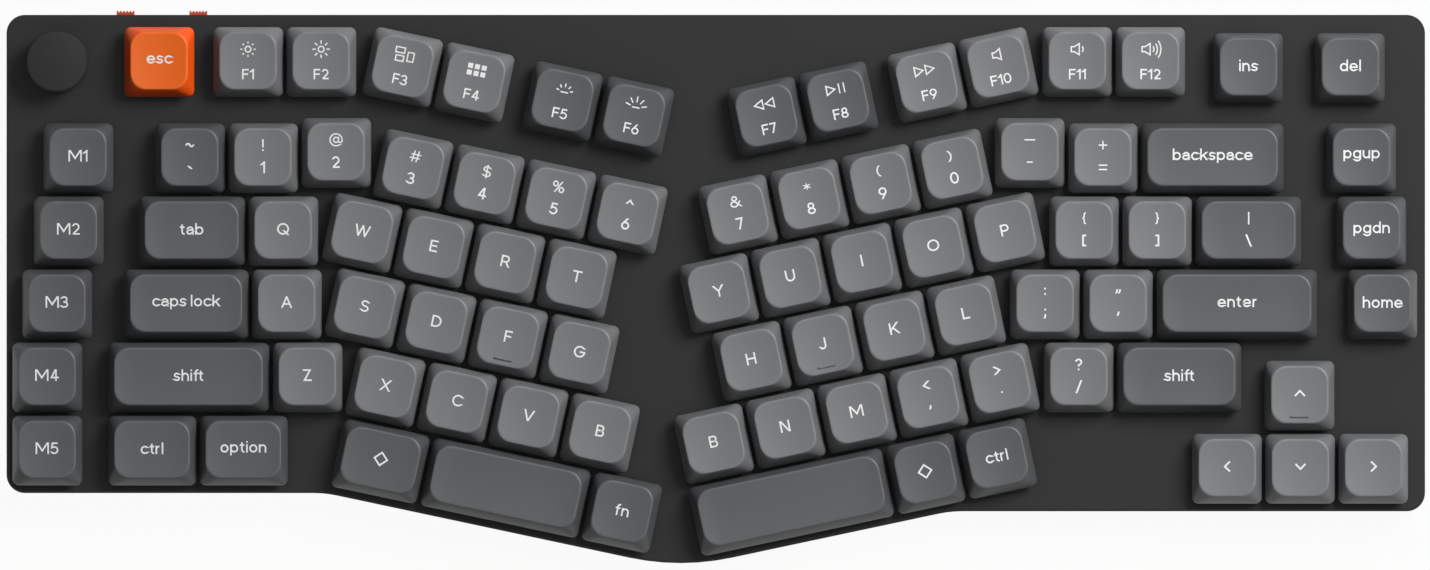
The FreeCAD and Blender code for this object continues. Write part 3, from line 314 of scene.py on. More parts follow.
def give_finished(tree, given, geometry):
    """Ends a tree: all copies become one mesh in the finish that the tree is given."""
    solid = tree.nodes.new("GeometryNodeRealizeInstances")
    finish = tree.nodes.new("GeometryNodeSetMaterial")
    out = tree.nodes.new("NodeGroupOutput")
    tree.links.new(geometry, solid.inputs["Geometry"])
    tree.links.new(solid.outputs["Geometry"], finish.inputs["Geometry"])
    tree.links.new(given.outputs["Finish"], finish.inputs["Material"])
    tree.links.new(finish.outputs["Geometry"], out.inputs["Geometry"])


def copies_tree():
    """Geometry Nodes: a piece set on every point, turned by the point, then laid on the deck."""
    tree = geometry_tree("copies_on_deck", (("Piece", "Object"), ("Deck Origin", "Vector"),
                                            ("Deck Tilt", "Float")))
    make, link = tree.nodes.new, tree.links.new
    given = make("NodeGroupInput")
    piece = make("GeometryNodeObjectInfo")
    turn = make("GeometryNodeInputNamedAttribute")
    turn.data_type = "FLOAT"
    turn.inputs["Name"].default_value = "turn"
    about = make("ShaderNodeCombineXYZ")
    copies = make("GeometryNodeInstanceOnPoints")
    tip = make("ShaderNodeCombineXYZ")
    lay = make("GeometryNodeTransform")
    link(given.outputs["Piece"], piece.inputs["Object"])
    link(turn.outputs["Attribute"], about.inputs["Z"])
    link(given.outputs["Geometry"], copies.inputs["Points"])
    link(piece.outputs["Geometry"], copies.inputs["Instance"])
    link(about.outputs["Vector"], copies.inputs["Rotation"])
    link(given.outputs["Deck Tilt"], tip.inputs["X"])
    link(copies.outputs["Instances"], lay.inputs["Geometry"])
    link(given.outputs["Deck Origin"], lay.inputs["Translation"])
    link(tip.outputs["Vector"], lay.inputs["Rotation"])
    give_finished(tree, given, lay.outputs["Geometry"])
    return tree


COPIES = copies_tree()


def grow(name, mesh, tree, values):
    """The plain mesh that a Geometry Nodes tree makes from a mesh and its named inputs."""
    start = new_piece(name + "_start", mesh)
    modifier = start.modifiers.new(name, "NODES")
    modifier.node_group = tree
    for item in tree.interface.items_tree:
        if item.in_out == "INPUT" and item.name in values:
            modifier[item.identifier] = values[item.name]
    evaluated = start.evaluated_get(bpy.context.evaluated_depsgraph_get())
    grown = bpy.data.meshes.new_from_object(evaluated)
    bpy.data.objects.remove(start)
    return grown


def set_on_deck(name, pattern, places, material):
    """A piece made of copies of a pattern mesh at (x, y, turn in degrees), in millimetres."""
    points = bpy.data.meshes.new(name + "_places")
    points.from_pydata([(x / 1000, y / 1000, 0) for x, y, turn in places], [], [])
    turns = points.attributes.new("turn", "FLOAT", "POINT")
    turns.data.foreach_set("value", [math.radians(turn) for x, y, turn in places])
    master = new_piece(name + "_master", pattern)
    values = {"Piece": master, "Deck Origin": DECK_ORIGIN, "Deck Tilt": TILT, "Finish": material}
    mesh = grow(name, points, COPIES, values)
    bpy.data.objects.remove(master)
    if "turn" in mesh.attributes:
        mesh.attributes.remove(mesh.attributes["turn"])
    return new_piece(name, mesh)


def skin(work, rings, closed=False):
    """Faces between rings of points. Where the rings don't close, each end gets a face too."""
    for low, high in zip(rings, rings[1:] + rings[:1] if closed else rings[1:]):
        for step in range(len(low)):
            after = (step + 1) % len(low)
            work.faces.new((low[step], low[after], high[after], high[step]))
    if not closed:
        work.faces.new(list(reversed(rings[0])))
        work.faces.new(rings[-1])


def mesh_of(work, name, degrees):
    """A bmesh as a mesh, its faces turned outwards and shaded smooth up to an angle."""
    bmesh.ops.recalc_face_normals(work, faces=work.faces)
    mesh = bpy.data.meshes.new(name)
    work.to_mesh(mesh)
    work.free()
    shade(mesh, degrees)
    return mesh


def lathe(work, profile, sides, x=0.0):
    """Turns a profile of (radius, height) in millimetres into a closed solid in a bmesh."""
    rings = []
    for radius, height in profile:
        ring = []
        for step in range(sides):
            angle = 2 * math.pi * step / sides
            spot = (x + radius * math.cos(angle), radius * math.sin(angle), height)
            ring.append(work.verts.new(Vector(spot) / 1000))
        rings.append(ring)
    skin(work, rings)


# Rows of keys as left edge, row height and each key's name and width, all in key widths
ROW_NUMBER = 1.7848
ROW_NUMBER_RAISED = 1.8568
ROW_NAVIGATION = 3.020
ROW_ARROWS = -2.4646
STRAIGHT_ROWS = [
    (-8.114, ROW_FUNCTION, [("escape", 1)]),
    (-6.897, ROW_FUNCTION, [("f1", 1), ("f2", 1)]),
    (4.445, ROW_FUNCTION, [("f11", 1), ("f12", 1)]),
    (-7.693, ROW_NUMBER, [("grave", 1), ("one", 1)]),
    (-5.693, ROW_NUMBER_RAISED, [("two", 1)]),
    (3.795, ROW_NUMBER_RAISED, [("minus", 1)]),
    (4.795, ROW_NUMBER, [("equal", 1), ("backspace", 2)]),
    (-7.918, ROW_NUMBER - 1, [("tab", 1.5), ("q", 1)]),
    (4.538, ROW_NUMBER - 1, [("left_bracket", 1), ("right_bracket", 1), ("backslash", 1.5)]),
    (-8.119, ROW_NUMBER - 2, [("caps_lock", 1.75), ("a", 1)]),
    (4.003, ROW_NUMBER - 2, [("semicolon", 1), ("quote", 1), ("enter", 2.25)]),
    (-8.336, ROW_NUMBER - 3, [("left_shift", 2.25), ("z", 1)]),
    (4.465, ROW_NUMBER - 3, [("slash", 1), ("right_shift", 1.75)]),
    (-8.335, ROW_NUMBER - 4, [("left_control", 1.25), ("left_option", 1.25)]),
    (-9.222, ROW_NUMBER, [("macro_one", 1)]),
    (-9.353, ROW_NUMBER - 1, [("macro_two", 1)]),
    (-9.511, ROW_NUMBER - 2, [("macro_three", 1)]),
    (-9.646, ROW_NUMBER - 3, [("macro_four", 1)]),
    (-9.646, ROW_NUMBER - 4, [("macro_five", 1)]),
    (6.785, ROW_NAVIGATION, [("insert", 1)]),
    (8.179, ROW_NAVIGATION, [("delete", 1)]),
    (8.332, ROW_NUMBER, [("page_up", 1)]),
    (8.469, ROW_NUMBER - 1, [("page_down", 1)]),
    (8.620, ROW_NUMBER - 2, [("home", 1)]),
    (7.488, ROW_ARROWS + 1, [("arrow_up", 1)]),
    (6.496, ROW_ARROWS, [("arrow_left", 1), ("arrow_down", 1), ("arrow_right", 1)]),
]
FAN_ANGLE = 12
FANS = [
    (-4.142, 1.634, -FAN_ANGLE, [
        (-0.928, -1.333, [("f3", 1), ("f4", 1)]),
        (1.306, -1.333, [("f5", 1), ("f6", 1)]),
        (-0.5, 0, [("three", 1), ("four", 1), ("five", 1), ("six", 1)]),
        (-1.0, 1, [("w", 1), ("e", 1), ("r", 1), ("t", 1)]),
        (-0.75, 2, [("s", 1), ("d", 1), ("f", 1), ("g", 1)]),
        (-0.25, 3, [("x", 1), ("c", 1), ("v", 1), ("left_b", 1)]),
        (-0.23, 4, [("left_command", 1.25), ("left_space", 2.25), ("fn", 1)]),
    ]),
    (0.303, 1.0147, FAN_ANGLE, [
        (0.1635, -1.227, [("f7", 1), ("f8", 1)]),
        (2.404, -1.227, [("f9", 1), ("f10", 1)]),
        (-0.5, 0, [("seven", 1), ("eight", 1), ("nine", 1), ("zero", 1)]),
        (-0.975, 1, [("y", 1), ("u", 1), ("i", 1), ("o", 1), ("p", 1)]),
        (-0.735, 2, [("h", 1), ("j", 1), ("k", 1), ("l", 1)]),
        (-1.473, 3, [("right_b", 1), ("n", 1), ("m", 1), ("comma", 1), ("period", 1)]),
        (-1.477, 4, [("right_space", 2.75), ("right_command", 1), ("right_control", 1)]),
    ]),
]


def lay_out_keys():
    """Every key as name: (x, y, turn in degrees, width in key widths), millimetres on the deck."""
    keys = {}
    for left, height, row in STRAIGHT_ROWS:
        for name, width in row:
            keys[name] = ((left + width / 2) * PITCH, height * PITCH, 0, width)
            left += width
    for origin_x, origin_y, turn, rows in FANS:
        cosine, sine = math.cos(math.radians(turn)), math.sin(math.radians(turn))
        for left, down, row in rows:
            for name, width in row:
                along = left + width / 2
                x = origin_x + cosine * along + sine * down
                y = origin_y + sine * along - cosine * down
                keys[name] = (x * PITCH, y * PITCH, turn, width)
                left += width
    return keys


KEYS = lay_out_keys()
SCREWS_BETWEEN = [
    ("escape", "grave"), ("f3", "three"), ("f6", "six"), ("f8", "eight"), ("f11", "minus"),
    ("insert", "page_up"), ("home", "arrow_right"), ("macro_three", "caps_lock"),
    ("macro_five", "left_control"), ("left_option", "left_command"), ("left_b", "right_b"),
    ("right_control", "slash"), ("right_shift", "arrow_left"),
]

# The screw's section as radius and height: recess, head, shank and tip
SCREW_PROFILE = [
    (0.01, -8.35), (1.02, -8.35), (1.02, -9.0), (1.10, -9.05), (1.55, -9.05), (1.80, -8.92),
    (1.90, -8.65), (1.90, -7.65), (0.95, -7.65), (0.95, -2.35), (0.75, -1.97), (0.01, -1.95),
]
screw_work = bmesh.new()
lathe(screw_work, SCREW_PROFILE, 24)
screw_mesh = mesh_of(screw_work, "screw", 35)
screw_places = []
for first, second in SCREWS_BETWEEN:
    x = (KEYS[first][0] + KEYS[second][0]) / 2
    y = (KEYS[first][1] + KEYS[second][1]) / 2
    screw_places.append((x, y, 0))
screw_zinc = grained("black_zinc", (0.10, 0.10, 0.11), 0.32, grain=0.0006, depth=0.000004,
                     metallic=1.0)
screws = set_on_deck("screws", screw_mesh, screw_places, screw_zinc)
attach(screws, "case")
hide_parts("case_screws")


# Cable inlet: a socket for a small flat plug, drawn from bright steel sheet and soldered under
# the board at the rear. A black nylon tongue stands inside it, and a thin black sleeve inside the
# shell is painted shade that darkens its inside.

INLET_X = -115.0
INLET_Z = -6.9
INLET_REAR = 71.414
INLET_WIDTH = 9.0
INLET_HEIGHT = 3.3
INLET_DEPTH = 7.3
INLET_SHELL = 0.33
INLET_EDGE = 0.06
INLET_FLAT = 0.01
INLET_BACK = 1.0
SHADE_LINING = 0.12
SHADE_LINING_FRONT = 0.5
TONGUE_WIDTH = 6.7
TONGUE_THICKNESS = 0.7
TONGUE_FRONT = 1.1
TONGUE_CORNER = 0.15
TONGUE_LEAD = 0.2
TONGUE_NARROWING = 0.4
TONGUE_THINNING = 0.3
QUARTER_STEPS = 8


def slot_loop(width, height, radius):
    """Points round an upright slot with rounded corners, about its own middle."""
    loop = []
    for start, side, top in ((0, 1, 1), (90, -1, 1), (180, -1, -1), (270, 1, -1)):
        for step in range(QUARTER_STEPS + 1):
            angle = math.radians(start + 90 * step / QUARTER_STEPS)
            x = side * (width / 2 - radius) + radius * math.cos(angle)
            loop.append((x, top * (height / 2 - radius) + radius * math.sin(angle)))
    return loop


def sleeve(name, stations, material):
    """A closed piece through slots of (width, height, corner radius, depth from the rear wall)."""
    work = bmesh.new()
    rings = []
    for width, height, radius, depth in stations:
        spots = [Vector((INLET_X + x, INLET_REAR - depth, INLET_Z + z)) / 1000
                 for x, z in slot_loop(width, height, radius)]
        rings.append([work.verts.new(DECK @ spot) for spot in spots])
    skin(work, rings)
    piece = new_piece(name, mesh_of(work, name, 35), material)
    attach(piece, "case")
    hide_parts("usb_c_socket")


def inset_slot(inset, depth):
    """The inlet's outline drawn in by an inset, at a depth."""
    height = INLET_HEIGHT - 2 * inset
    return (INLET_WIDTH - 2 * inset, height, height / 2 - INLET_FLAT, depth)


sleeve("cable_inlet", [
    inset_slot(0, INLET_DEPTH), inset_slot(0, INLET_EDGE), inset_slot(INLET_EDGE, 0),
    inset_slot(INLET_SHELL - INLET_EDGE, 0), inset_slot(INLET_SHELL, INLET_EDGE),
    inset_slot(INLET_SHELL, INLET_DEPTH - INLET_SHELL),
], shell_steel)
# A thin black sleeve inside the steel shell: painted shade that darkens the inside
sleeve("inlet_lining", [
    inset_slot(INLET_SHELL, INLET_DEPTH - INLET_SHELL), inset_slot(INLET_SHELL, SHADE_LINING_FRONT),
    inset_slot(INLET_SHELL + SHADE_LINING, SHADE_LINING_FRONT),
    inset_slot(INLET_SHELL + SHADE_LINING, INLET_DEPTH - INLET_BACK),
], black_nylon)
sleeve("inlet_tongue", [
    (TONGUE_WIDTH, TONGUE_THICKNESS, TONGUE_CORNER, INLET_DEPTH - INLET_BACK),
    (TONGUE_WIDTH, TONGUE_THICKNESS, TONGUE_CORNER, TONGUE_FRONT + TONGUE_LEAD),
    (TONGUE_WIDTH - TONGUE_NARROWING, TONGUE_THICKNESS - TONGUE_THINNING, TONGUE_CORNER,
     TONGUE_FRONT),
], black_nylon)


# Switches and stabilisers: 89 low-profile switches of black nylon clip into the deck. Long keys
# also slide in two stabilisers each, joined by a bent steel wire that keeps both ends level.

dress("switch_housings", black_nylon)
dress("stabilizer_housings", grained("stabiliser_nylon", (0.022, 0.022, 0.023), 0.40,
                                     grain=0.0005))
wire_steel = grained("wire_steel", (0.58, 0.58, 0.58), 0.24, grain=0.0015, depth=0.000002,
                     tone=0.04, metallic=1.0)
LONG_KEYS = ("left_shift", "backspace", "enter", "left_space", "right_space")
for key in LONG_KEYS:
    smoothed("wire_" + key, "bent_wire_" + key, wire_steel, 50)


# Knob and encoder: the knob is turned from aluminium, blasted and anodised charcoal like the
# deck. It is pressed on the flatted steel shaft of a blackened encoder that stands on the board.

knob_anodising = grained("knob_anodising", (0.016, 0.016, 0.016), 0.48, grain=0.0003,
                         depth=0.000006, tone=0.2, specular=0.2)
smoothed("knob", "knob_cap", knob_anodising, 25)
smoothed("encoder_shaft", "knob_shaft", shell_steel)
smoothed("encoder_rotor", "knob_rotor", black_nylon)
dress("encoder_body", grained("blackened_steel", (0.020, 0.020, 0.021), 0.45, grain=0.0008,
                              depth=0.000003, tone=0.08, metallic=1.0))


# Top case: one aluminium plate with a short wall and a small bevel, blasted and anodised to a
# fine matte charcoal. The switches and stabilisers clip into its square holes.

deck_anodising = grained("deck_anodising", (0.0145, 0.0145, 0.0145), 0.50, grain=0.00030,
                         depth=0.000008, tone=0.30, spread=0.10, specular=0.2)
smoothed("top_case", "deck", deck_anodising, 20)


# Slide switch buttons: two orange-red tips moulded with five fine grip ribs stand out of the
# rear wall. A flange behind the wall keeps each one in, and a lever works its switch.

button_plastic = grained("button_plastic", (0.470, 0.056, 0.022), 0.42, grain=0.0002,
                         depth=0.000006, tone=0.06, specular=0.25)
smoothed("connection_slider", "connection_button", button_plastic)
smoothed("system_slider", "system_button", button_plastic)


# Keycaps: double-shot plastic caps with a fine matte grain. Their sides lean in to a dished top
# with large round corners, a bowl on short keys and a trough on long ones, inside a glossier rim.
# The rim carries a painted highlight, and the sides painted shade.

CAP_GAP = 0.85
CAP_TAPER = 1.69
CAP_REAR_SHIFT = 0.32
CAP_LOW = 3.6
CAP_TOP = 8.7
CAP_WALL = 1.2
CAP_CEILING = 7.1
SKIRT_CORNER = 1.7
TOP_CORNER = 4.2
SMALLEST_CORNER = 0.06
DISH_DEPTH = 0.6
DISH_ACROSS = 7.8
DISH_ALONG = 10.7
SIDE_BULGE = 1.22
# Sides below this lean carry the painted shade
PAINTED_SHADE_ENDS = 0.93
RIM_RISE = 0.94
RIM_DISH = 0.88
RIM_INSET = 0.42
CORNER_STEPS = 8
SIDE_STEPS = 6
SOCKET_RADIUS = 2.8
SOCKET_LOW = 3.5
SOCKET_ROOT = 0.1
STABILISER_REACH = 11.94
# The rim's painted highlight (colour gain, lift and strength) and its real extra gloss (polish)
RIM_HIGHLIGHT_GAIN = 1.2
RIM_HIGHLIGHT_LIFT = 0.01
RIM_HIGHLIGHT_STRENGTH = 0.6
RIM_POLISH = -0.08


def rounded_loop(half_width, front, rear, radius):
    """Points round a rectangle with rounded corners, always the same number of them."""
    right, back, near = half_width - radius, rear - radius, front + radius
    corners = ((right, back, 0), (-right, back, 90), (-right, near, 180), (right, near, 270))
    loop = []
    for number, (x, y, start) in enumerate(corners):
        for step in range(CORNER_STEPS + 1):
            angle = math.radians(start + 90 * step / CORNER_STEPS)
            loop.append(Vector((x + radius * math.cos(angle), y + radius * math.sin(angle))))
        x, y, start = corners[(number + 1) % 4]
        angle = math.radians(start)
        there = Vector((x + radius * math.cos(angle), y + radius * math.sin(angle)))
        here = loop[-1]
        loop += [here.lerp(there, step / (SIDE_STEPS + 1)) for step in range(1, SIDE_STEPS + 1)]
    return loop


def dish_drop(x, y, units):
    """How far the dished top lies below its corners at a point of the cap, in millimetres. A wide
    cap's dish is a trough with a half bowl at each end, and bends more from side to side."""
    y -= CAP_REAR_SHIFT
    past = max(0, abs(x) - (units - 1) * PITCH / 2)
    return DISH_DEPTH * max(0, 1 - (past / DISH_ACROSS) ** 2 - (y / DISH_ALONG) ** 2)


def cap_profile():
    """Rings from the mouth, over the skirt and rim, to the middle of the dish: how far the side
    has leaned in, a further inset, the height, the share of the dish, and how much it is rim."""
    rings = [
        (0, CAP_WALL, CAP_LOW, 0, 0), (0, 0.14, CAP_LOW, 0, 0), (0, 0.04, CAP_LOW + 0.05, 0, 0),
        (0, 0, CAP_LOW + 0.16, 0, 0),
    ]
    for rise in (0.15, 0.3, 0.45, 0.6, 0.74, 0.85):
        height = CAP_LOW + rise * (CAP_TOP - CAP_LOW)
        rings.append((rise ** SIDE_BULGE, 0, height, rise ** 3, 0))
    start = (RIM_RISE ** SIDE_BULGE, 0, CAP_LOW + RIM_RISE * (CAP_TOP - CAP_LOW), RIM_DISH)
    corner = (1, 0, CAP_TOP, 1)
    end = (1, RIM_INSET, CAP_TOP, 1)
    for step, rim in ((0, 0.1), (0.25, 0.5), (0.5, 1), (0.75, 1), (1, 0.3)):
        before, middle, after = (1 - step) ** 2, 2 * step * (1 - step), step ** 2
        ring = [before * a + middle * b + after * c for a, b, c in zip(start, corner, end)]
        rings.append((*ring, rim))
    for inset in (0.75, 1.3, 2.0, 2.9, 3.8, 4.7, 5.6, 6.4, 7.1):
        rings.append((1, inset, CAP_TOP, 1, 0))
    return rings


def cap_mesh(units, socket_places):
    """One hollow cap of a width, about its key's centre on the deck."""
    work = bmesh.new()
    rim_gloss_and_highlight_mark = work.verts.layers.float.new("rim")
    painted_shade_mark = work.verts.layers.float.new("side")
    half_width = (units * PITCH - CAP_GAP) / 2
    half_depth = (PITCH - CAP_GAP) / 2

    def cap_ring(lean, inset, height, dish, rim):
        radius = SKIRT_CORNER + (TOP_CORNER - SKIRT_CORNER) * lean - inset
        draw = CAP_TAPER * lean + inset
        radius = max(radius, (half_depth - draw) * SMALLEST_CORNER)
        shift = CAP_REAR_SHIFT * lean
        loop = rounded_loop(half_width - draw, shift + draw - half_depth,
                            shift + half_depth - draw, radius)
        verts = []
        for spot in loop:
            z = height - dish * dish_drop(spot.x, spot.y, units)
            vert = work.verts.new(Vector((spot.x, spot.y, z)) / 1000)
            vert[rim_gloss_and_highlight_mark] = rim
            # Points on the sides below the rim are marked for painted shade
            vert[painted_shade_mark] = lean < PAINTED_SHADE_ENDS
            verts.append(vert)
        return verts

    ceiling_rise = (CAP_CEILING - CAP_LOW) / (CAP_TOP - CAP_LOW)
    rings = [cap_ring(ceiling_rise, CAP_WALL, CAP_CEILING, 0, 0)]
    rings += [cap_ring(*station) for station in cap_profile()]
    skin(work, rings)
    for x in socket_places:
        socket = [(SOCKET_RADIUS, SOCKET_LOW), (SOCKET_RADIUS, CAP_CEILING + SOCKET_ROOT)]
        lathe(work, socket, 24, x)
    return mesh_of(work, "cap", 50)


def cap_mark(tree, mark):
    """How strongly a mark is set at each point of a cap: rim, for real gloss and a painted highlight, or side, for
    painted shade.
    """
    node = tree.nodes.new("ShaderNodeAttribute")
    node.attribute_name = mark
    return node.outputs["Fac"]


def cap_material(name, colour, painted_shade_colour):
    """Grained cap plastic whose thin rim is glossier and painted a little lighter as a highlight. Its sides are
    painted darker, and on the orange cap redder, as shade."""
    material = grained(name, colour, 0.48, grain=0.00026, depth=0.000007, tone=0.14, specular=0.33)
    tree = material.node_tree
    shader, pattern = tree.nodes["Principled BSDF"], tree.nodes["grain"]
    rim = cap_mark(tree, "rim")
    # Painted highlight: the rim's colour is made lighter than the cap's own
    rim_highlight_colour = [min(1, RIM_HIGHLIGHT_GAIN * part + RIM_HIGHLIGHT_LIFT) for part in colour]
    rim_highlight_share = maths(tree, "MULTIPLY", rim, RIM_HIGHLIGHT_STRENGTH)
    # Painted shade: the sides get a darker colour, redder on the orange cap
    shaded_sides = laid_over(tree, pattern.outputs["Colour"], cap_mark(tree, "side"), painted_shade_colour)
    tree.links.new(laid_over(tree, shaded_sides, rim_highlight_share, rim_highlight_colour), shader.inputs["Base Color"])
    roughness = maths(tree, "MULTIPLY_ADD", rim, RIM_POLISH, pattern.outputs["Roughness"])
    tree.links.new(roughness, shader.inputs["Roughness"])
    return material


# Each cap plastic, and the colour painted on its sides as shade: darker, and redder on the orange cap
CAP_FINISHES = {
    "light": cap_material("cap_light_grey", (0.158, 0.161, 0.166), (0.147, 0.150, 0.155)),
    "dark": cap_material("cap_dark_grey", (0.083, 0.086, 0.091), (0.068, 0.070, 0.074)),
    "orange": cap_material("cap_orange", (0.74, 0.120, 0.006), (0.84, 0.086, 0.002)),
}
BANKS = {
    "keys_macro": ["macro_one", "macro_two", "macro_three", "macro_four", "macro_five"],
    "keys_function_left": ["f1", "f2", "f3", "f4", "f5", "f6"],
    "keys_function_right": ["f7", "f8", "f9", "f10", "f11", "f12"],
    "keys_navigation": ["insert", "delete", "page_up", "page_down", "home"],
    "keys_numbers_left": ["grave", "one", "two", "three", "four", "five", "six"],
    "keys_numbers_right": ["seven", "eight", "nine", "zero", "minus", "equal"],
    "keys_letters_left": ["q", "e", "r", "t", "f", "g", "z", "x", "c", "v", "left_b"],
    "keys_letters_right": [
        "y", "u", "i", "o", "p", "left_bracket", "right_bracket", "h", "j", "k", "l",
        "semicolon", "quote", "right_b", "n", "m", "comma", "period", "slash",
    ],
}
banked = [key for keys in BANKS.values() for key in keys]
GROUPS = dict(BANKS)
GROUPS.update({"key_" + key: [key] for key in KEYS if key not in banked})
DARK_BANKED = ("f5", "f6", "f7", "f8", "grave", *BANKS["keys_macro"], *BANKS["keys_navigation"])
LIGHT_SINGLE = ("w", "a", "s", "d", "arrow_up", "arrow_left", "arrow_down", "arrow_right")


def cap_tone(key):
    """Which of the three cap plastics a key has."""
    if key == "escape":
        return "orange"
    light = key in LIGHT_SINGLE or (key in banked and key not in DARK_BANKED)
    return "light" if light else "dark"


cap_meshes = {}
for node, keys in GROUPS.items():
    tones = sorted({cap_tone(key) for key in keys})
    for tone in tones:
        same = [key for key in keys if cap_tone(key) == tone]
        units = KEYS[same[0]][3]
        sockets = (0, -STABILISER_REACH, STABILISER_REACH) if same[0] in LONG_KEYS else (0,)
        if (units, sockets) not in cap_meshes:
            cap_meshes[units, sockets] = cap_mesh(units, sockets)
        name = node.replace("key", "cap", 1) + ("_" + tone if len(tones) > 1 else "")
        places = [KEYS[key][:3] for key in same]
        pattern = cap_meshes[units, sockets].copy()
        caps = set_on_deck(name, pattern, places, CAP_FINISHES[tone])
        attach(caps, node)
        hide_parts(node)


# Stems: each key's black nylon stem, and a long key's two plungers, move with its cap. They end
# in a cross post that is pressed up into the cap. Of a key's solids they are the narrow ones.

WIDEST_STEM = 0.011
for node in GROUPS:
    work, mesh = merged(node)
    met = set()
    too_wide = []
    for first_vert in work.verts:
        if first_vert in met:
            continue
        met.add(first_vert)
        island = [first_vert]
        for vert in island:
            for edge in vert.link_edges:
                other = edge.other_vert(vert)
                if other not in met:
                    met.add(other)
                    island.append(other)
        across = [vert.co.x for vert in island]
        if max(across) - min(across) > WIDEST_STEM:
            too_wide += island
    bmesh.ops.delete(work, geom=too_wide, context="VERTS")
    work.to_mesh(mesh)
    work.free()
    shade(mesh, 30)
    stem = new_piece(node.replace("key", "stem", 1), mesh, black_nylon)
    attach(stem, node)
    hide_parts(node)


# Return springs: a coil of steel wire stands inside each stem on the floor of its housing, and
# shortens as the key goes down.

SPRING_RADIUS = 2.0
SPRING_WIRE = 0.14
SPRING_TURNS = 7
SPRING_LOW = -3.3
SPRING_HIGH = 2.34


def spring_tree():
    """Geometry Nodes: a round wire wound along a spiral."""
    tree = geometry_tree("wound_spring", (("Turns", "Float"), ("Radius", "Float"),
                                          ("Length", "Float"), ("Wire", "Float"),
                                          ("Low End", "Vector")))
    make, link = tree.nodes.new, tree.links.new
    given = make("NodeGroupInput")
    spiral = make("GeometryNodeCurveSpiral")
    spiral.inputs["Resolution"].default_value = 14
    wire = make("GeometryNodeCurvePrimitiveCircle")
    wire.inputs["Resolution"].default_value = 5
    sweep = make("GeometryNodeCurveToMesh")
    sweep.inputs["Fill Caps"].default_value = True
    lift = make("GeometryNodeTransform")
    link(given.outputs["Turns"], spiral.inputs["Rotations"])
    link(given.outputs["Radius"], spiral.inputs["Start Radius"])
    link(given.outputs["Radius"], spiral.inputs["End Radius"])
    link(given.outputs["Length"], spiral.inputs["Height"])
    link(given.outputs["Wire"], wire.inputs["Radius"])
    link(spiral.outputs["Curve"], sweep.inputs["Curve"])
    link(wire.outputs["Curve"], sweep.inputs["Profile Curve"])
    link(sweep.outputs["Mesh"], lift.inputs["Geometry"])
    link(given.outputs["Low End"], lift.inputs["Translation"])
    give_finished(tree, given, lift.outputs["Geometry"])
    return tree


spring_mesh = grow("spring", bpy.data.meshes.new("spring_seed"), spring_tree(), {
    "Turns": float(SPRING_TURNS), "Radius": SPRING_RADIUS / 1000, "Wire": SPRING_WIRE / 1000,
    "Length": (SPRING_HIGH - SPRING_LOW) / 1000, "Low End": (0, 0, SPRING_LOW / 1000),
    "Finish": wire_steel,
})
shade(spring_mesh, 60)
for node, keys in GROUPS.items():
    places = [KEYS[key][:3] for key in keys]
    springs = set_on_deck(node.replace("key", "spring", 1), spring_mesh.copy(), places, wire_steel)
    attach(springs, "case")
    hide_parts("switch_springs")
    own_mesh(springs)


# Legends: white letters and signs moulded right through the caps as a second shot, so that they
# end flush with the top. They are drawn in a plain round-bowled face of one stroke weight.

ARC_STEP = 15
DOT_HALF = 0.02


def arc(x, y, across, up, start, end):
    """Points along an ellipse from one angle to another, in degrees."""
    steps = max(2, round(abs(end - start) / ARC_STEP))
    angles = [math.radians(start + (end - start) * step / steps) for step in range(steps + 1)]
    return [(x + across * math.cos(angle), y + up * math.sin(angle)) for angle in angles]


def ring(x, y, across, up):
    """A closed ellipse."""
    loop = arc(x, y, across, up, 0, 360)
    return loop[:-1] + [loop[0]]


def dot(x, y):
    """A square dot, one stroke wide once its ends are cut level."""
    return [(x, y - DOT_HALF), (x, y + DOT_HALF)]


def mirrored(width, strokes):
    """Strokes turned left to right."""
    return [[(width - x, y) for x, y in stroke] for stroke in strokes]


BRACE = [*arc(1.7, 5.2, 0.8, 0.8, 100, 180), (0.9, 3.7), (0.2, 2.9), (0.9, 2.1),
         *arc(1.7, 0.6, 0.8, 0.8, 180, 260)]
P_BOWL = [(0, 6), (2.4, 6), *arc(2.4, 4.3, 1.7, 1.7, 90, -90), (0, 2.6)]

